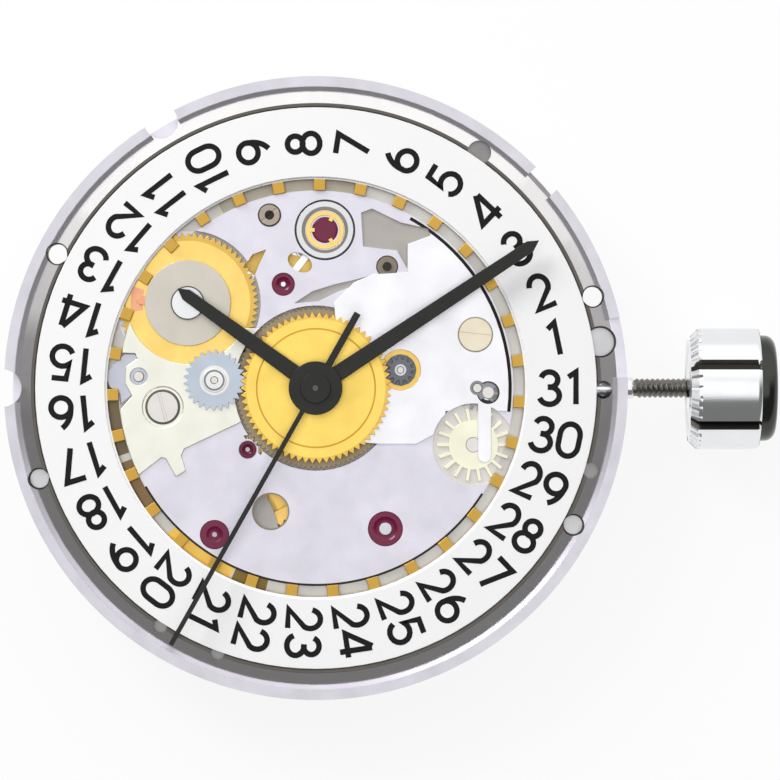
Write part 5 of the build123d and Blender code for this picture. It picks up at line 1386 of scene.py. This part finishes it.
@dataclass
class KeylessWork(SubAssembly):
    """Stem, pinions, levers and the ribbed knob."""

    name: str = "keyless"
    pitch: float = 0.22
    core: float = 0.34
    crest: float = 0.42
    root: float = 0.04
    thread_start: float = 13.40
    thread_end: float = 17.00
    knob_radius: float = 2.585
    knob_end: float = 19.40
    cap_start: float = 18.95
    cap_round: float = 0.45
    cap_step: float = 15.0
    groove_every: float = 60.0
    groove_start: float = 8.0
    groove_half: float = 3.9
    groove_depth: float = 0.25

    def stem(self) -> bpy.types.Object:
        """Turned stem with its square and a cut thread.

        Returns:
            The stem in millimetres.
        """
        shank = turned("winding_stem_turned", HANDS_AXIS, [
            (0.10, 3.80), (0.24, 3.80), (0.30, 3.88), (0.30, 5.50), (0.23, 5.50), (0.23, 7.30),
            (0.42, 7.30), (0.42, 9.27), (0.39, 9.30), (0.28, 9.30), (0.28, 9.60), (0.42, 9.60),
            (0.45, 9.64), (0.45, 13.34), (0.41, self.thread_start), (self.core, self.thread_start),
            (self.core, self.thread_end), (0.10, self.thread_end),
        ], 48, True)
        clear_selection()
        bpy.ops.mesh.primitive_cube_add(size=1.0, location=(6.4, 0.0, STEM_LEVEL))
        square = bpy.context.object
        square.dimensions = (1.79, 0.46, 0.46)
        bpy.ops.object.transform_apply(location=True, scale=True)
        soften(square, 0.03)
        turns = int((self.thread_end - self.thread_start - 0.2) / self.pitch)
        clear_selection()
        bpy.ops.mesh.primitive_circle_add(
            vertices=4, radius=1.0, fill_type="NOTHING", location=(0.5, 0.0, 0.0),
            rotation=(math.pi / 2, 0.0, 0.0),
        )
        ridge = bpy.context.object
        depth = self.crest - self.core + self.root
        ridge.scale = (depth / 2, 0.42 * self.pitch, 1.0)
        ridge.location = (self.core - self.root + depth / 2, 0.0, self.thread_start + 0.12)
        bpy.ops.object.transform_apply(location=True, rotation=True, scale=True)
        apply_modifier(ridge, "SCREW", angle=2 * math.pi, screw_offset=self.pitch,
                       iterations=turns, steps=32, render_steps=32, use_merge_vertices=True,
                       merge_threshold=1e-4, use_smooth_shade=False)
        face_outward(close=True)
        ridge.rotation_euler = (0, math.pi / 2, 0)
        ridge.location = (0, 0, STEM_LEVEL)
        bpy.ops.object.transform_apply(location=True, rotation=True, scale=True)
        return joined("winding_stem_threaded", [shank, square, ridge])

    @staticmethod
    def away_from(y: float, z: float, every: float, start: float) -> tuple[float, float]:
        """Where a place stands about the stem's axis.

        Args:
            y: Millimetres along Y.
            z: Millimetres along Z.
            every: Degrees from one cut to the next.
            start: Direction of the first cut in degrees.

        Returns:
            Degrees from the nearest cut, and the distance from the axis.
        """
        turn = math.degrees(math.atan2(z - STEM_LEVEL, y))
        return (turn - start + every / 2) % every - every / 2, math.hypot(y, z - STEM_LEVEL)

    def knob(self) -> bpy.types.Object:
        """Winding knob with deep grooves, a notched chamfer and a domed cap.

        Returns:
            The knob in millimetres.
        """
        rim = self.knob_radius
        face, back, seam = 2.235, 15.74, 18.70
        turns = [math.radians(step * self.cap_step) for step in range(7)]
        dome = [(face - self.cap_round * (1 - math.cos(turn)),
                 self.cap_start + self.cap_round * math.sin(turn)) for turn in turns]
        piece = turned("crown_grooved", HANDS_AXIS, [
            (0.43, self.thread_end), (0.43, back), (1.10, back), (1.16, 15.80), (1.90, 15.80),
            (1.96, back), (2.285, back), (rim, 16.04), (rim, 16.20), (rim, 18.52),
            (2.555, 18.62), (2.49, seam), (face, seam), *dome, (1.2, self.knob_end),
            (0.10, self.knob_end),
        ], 144, True)
        axis = (0.0, 0.0, STEM_LEVEL)
        cuts = (
            (self.groove_every, self.groove_start, self.groove_half, 15.70, 18.69, 2.20,
             self.groove_depth),
            (10.0, 0.5, 1.6, 15.90, 16.10, 2.40, 0.09),
        )
        for every, start, half, near, far, inner, depth in cuts:
            bpy.ops.object.mode_set(mode="EDIT")
            bpy.ops.mesh.select_all(action="DESELECT")
            bpy.ops.object.mode_set(mode="OBJECT")
            for vertex in piece.data.vertices:
                x, y, z = vertex.co
                away, reach = self.away_from(y, z, every, start)
                vertex.select = abs(away) < half and near < x < far and reach > inner
            bpy.ops.object.mode_set(mode="EDIT")
            share = 1 - depth / self.knob_radius
            bpy.ops.transform.resize(value=(1.0, share, share), center_override=axis)
            bpy.ops.object.mode_set(mode="OBJECT")
        return piece

    def darken_grooves(self, crown: bpy.types.Object) -> None:
        """Paints shade on the floors and walls of the knob's grooves, as a near-black second
        material.

        Args:
            crown: Knob in its place, in metres.
        """
        # Near-black second material: painted shade in the knob's grooves.
        dark = Finish("groove_black", (0.035, 0.032, 0.028), 0.4, grain=Grain.SATIN)
        crown.data.materials.append(self.material(dark))
        for face in crown.data.polygons:
            x, y, z = (part / MM for part in face.center)
            away, reach = self.away_from(y, z, self.groove_every, self.groove_start)
            if abs(away) < self.groove_half and reach > 1.97 and 15.76 < x < 18.66:
                face.material_index = 1

    def build(self) -> None:
        """Finishes the keyless works, cuts the stem's thread and dresses the knob."""
        far_left: Point = (-80.0, 0.0)
        # Painted shade: the domed end cap near black.
        cap = Zone((0.06, 0.06, 0.055), 0.20, centre=far_left, inner=18.705 - far_left[0])
        knob = Finish("knob_steel", (0.84, 0.85, 0.86), 0.17, grain=Grain.SATIN, relief=0.8,
                      mottle=0.04, zones=(cap,))
        self.parts = (
            Part("winding_pinion", DARK_STEEL, 0.015),
            Part("sliding_pinion", DARK_STEEL, 0.015),
            Part("setting_lever", STEEL, 0.015),
            Part("yoke", STEEL, 0.015),
        )
        super().build()
        crown = self.settle(self.knob(), "crown", knob, smooth=24.0)
        self.darken_grooves(crown)
        self.settle(self.stem(), "winding_stem", Finish(
            "stem_steel", (0.22, 0.21, 0.18), 0.22, grain=Grain.POLISHED, mottle=0.08,
            zones=(Zone((0.86, 0.86, 0.86), 0.16, inner=9.6, outer=13.40),),
        ))


@dataclass(frozen=True)
class SkyBand:
    """Part of the sky that brightens along one axis of the view direction."""

    axis: int
    start: float
    end: float
    dim: float
    bright: float
    shape: str = "SMOOTHSTEP"


@dataclass
class Studio:
    """Floor, light and camera."""

    floor_half: float = 1.5
    floor_white: float = 0.96
    floor_glow: float = 0.88
    camera_height: float = 0.1819
    view_centre: Point = (3.11, -0.08)
    lens: float = 200.0
    lamp_place: tuple[float, float, float] = (-0.11, 0.13, 0.13)
    lamp_aim: tuple[float, float, float] = (0.003, 0.0, 0.0)
    lamp_width: float = 0.10
    lamp_power: float = 0.22
    bands: tuple[SkyBand, ...] = (
        SkyBand(2, 0.90, 0.985, 0.18, 1.22),
        SkyBand(1, -0.05, 0.42, 0.20, 1.2),
        SkyBand(2, 0.22, 0.12, 0.0, 0.98, "LINEAR"),
    )

    def floor(self) -> None:
        """Pale floor that the picture sees as white, with the object's soft shadow."""
        clear_selection()
        bpy.ops.mesh.primitive_plane_add(size=2 * self.floor_half,
                                         location=(0, 0, FLOOR_LEVEL * MM))
        plane = bpy.context.object
        plane.name = "studio_floor"
        graph = Graph("floor_paper")
        white = self.floor_white
        graph.shader.inputs["Base Color"].default_value = (white, white, white, 1.0)
        graph.shader.inputs["Roughness"].default_value = 0.9
        glow = graph.node("ShaderNodeEmission")
        glow.inputs["Strength"].default_value = 1.0
        path = graph.node("ShaderNodeLightPath")
        seen = graph.math("MAXIMUM", path.outputs["Is Camera Ray"], path.outputs["Is Glossy Ray"])
        seen = graph.math("MAXIMUM", seen, path.outputs["Is Transmission Ray"])
        mixed = graph.node("ShaderNodeMixShader")
        graph.link(graph.math("MULTIPLY", seen, self.floor_glow), mixed.inputs[0])
        graph.link(graph.shader.outputs[0], mixed.inputs[1])
        graph.link(glow.outputs[0], mixed.inputs[2])
        clear = graph.node("ShaderNodeBsdfTransparent")
        side = graph.node("ShaderNodeNewGeometry")
        both = graph.node("ShaderNodeMixShader")
        graph.link(side.outputs["Backfacing"], both.inputs[0])
        graph.link(mixed.outputs[0], both.inputs[1])
        graph.link(clear.outputs[0], both.inputs[2])
        graph.link(both.outputs[0], graph.output.inputs["Surface"])
        plane.data.materials.append(graph.material)

    def world(self) -> None:
        """Even sky, brightest overhead and dimmer at the sides and the front."""
        world = bpy.data.worlds.new("studio_sky")
        bpy.context.scene.world = world
        world.use_nodes = True
        tree = world.node_tree
        tree.nodes.clear()
        place = tree.nodes.new("ShaderNodeTexCoord")
        apart = tree.nodes.new("ShaderNodeSeparateXYZ")
        tree.links.new(place.outputs["Generated"], apart.inputs[0])
        total: bpy.types.NodeSocket | None = None
        for band in self.bands:
            ramp = tree.nodes.new("ShaderNodeMapRange")
            ramp.interpolation_type = band.shape
            for label, value in (("From Min", band.start), ("From Max", band.end),
                                 ("To Min", band.dim), ("To Max", band.bright)):
                ramp.inputs[label].default_value = value
            tree.links.new(apart.outputs[band.axis], ramp.inputs[0])
            if total is None:
                total = ramp.outputs[0]
                continue
            larger = tree.nodes.new("ShaderNodeMath")
            larger.operation = "MAXIMUM"
            tree.links.new(total, larger.inputs[0])
            tree.links.new(ramp.outputs[0], larger.inputs[1])
            total = larger.outputs[0]
        sky = tree.nodes.new("ShaderNodeBackground")
        sky.inputs[0].default_value = (1.0, 1.0, 1.0, 1.0)
        tree.links.new(total, sky.inputs[1])
        output = tree.nodes.new("ShaderNodeOutputWorld")
        tree.links.new(sky.outputs[0], output.inputs[0])

    def lamps(self) -> None:
        """One broad soft lamp at the upper left."""
        lamp = bpy.data.lights.new("window_lamp", "AREA")
        lamp.shape = "DISK"
        lamp.size = self.lamp_width
        lamp.energy = self.lamp_power
        holder = bpy.data.objects.new("window_lamp", lamp)
        bpy.context.scene.collection.objects.link(holder)
        holder.location = self.lamp_place
        aim = Vector(self.lamp_aim) - Vector(self.lamp_place)
        holder.rotation_euler = aim.to_track_quat("-Z", "Y").to_euler()

    def camera(self) -> None:
        """Camera straight above the dial side."""
        lens = bpy.data.cameras.new("overhead_camera")
        lens.lens = self.lens
        lens.sensor_width = 36
        lens.clip_start = 0.002
        lens.clip_end = 10
        holder = bpy.data.objects.new("overhead_camera", lens)
        bpy.context.scene.collection.objects.link(holder)
        holder.location = (self.view_centre[0] * MM, self.view_centre[1] * MM,
                           self.camera_height)
        bpy.context.scene.camera = holder

    def build(self) -> None:
        """Sets up the studio."""
        bpy.context.scene.view_settings.view_transform = "Standard"
        self.floor()
        self.world()
        self.lamps()
        self.camera()


def main() -> None:
    """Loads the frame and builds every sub-assembly."""
    logging.basicConfig(level=logging.INFO, format="%(name)s %(message)s")
    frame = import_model()
    Studio().build()
    for kind in (PlateAndJewels, Calendar, MotionWork, DialFasteners, GoingTrain, BarrelWork,
                 Balance, Bridges, AutomaticWork, KeylessWork):
        kind(frame).build()
        LOG.info("%s done", kind.__name__)


if __name__ == "__main__":
    main()
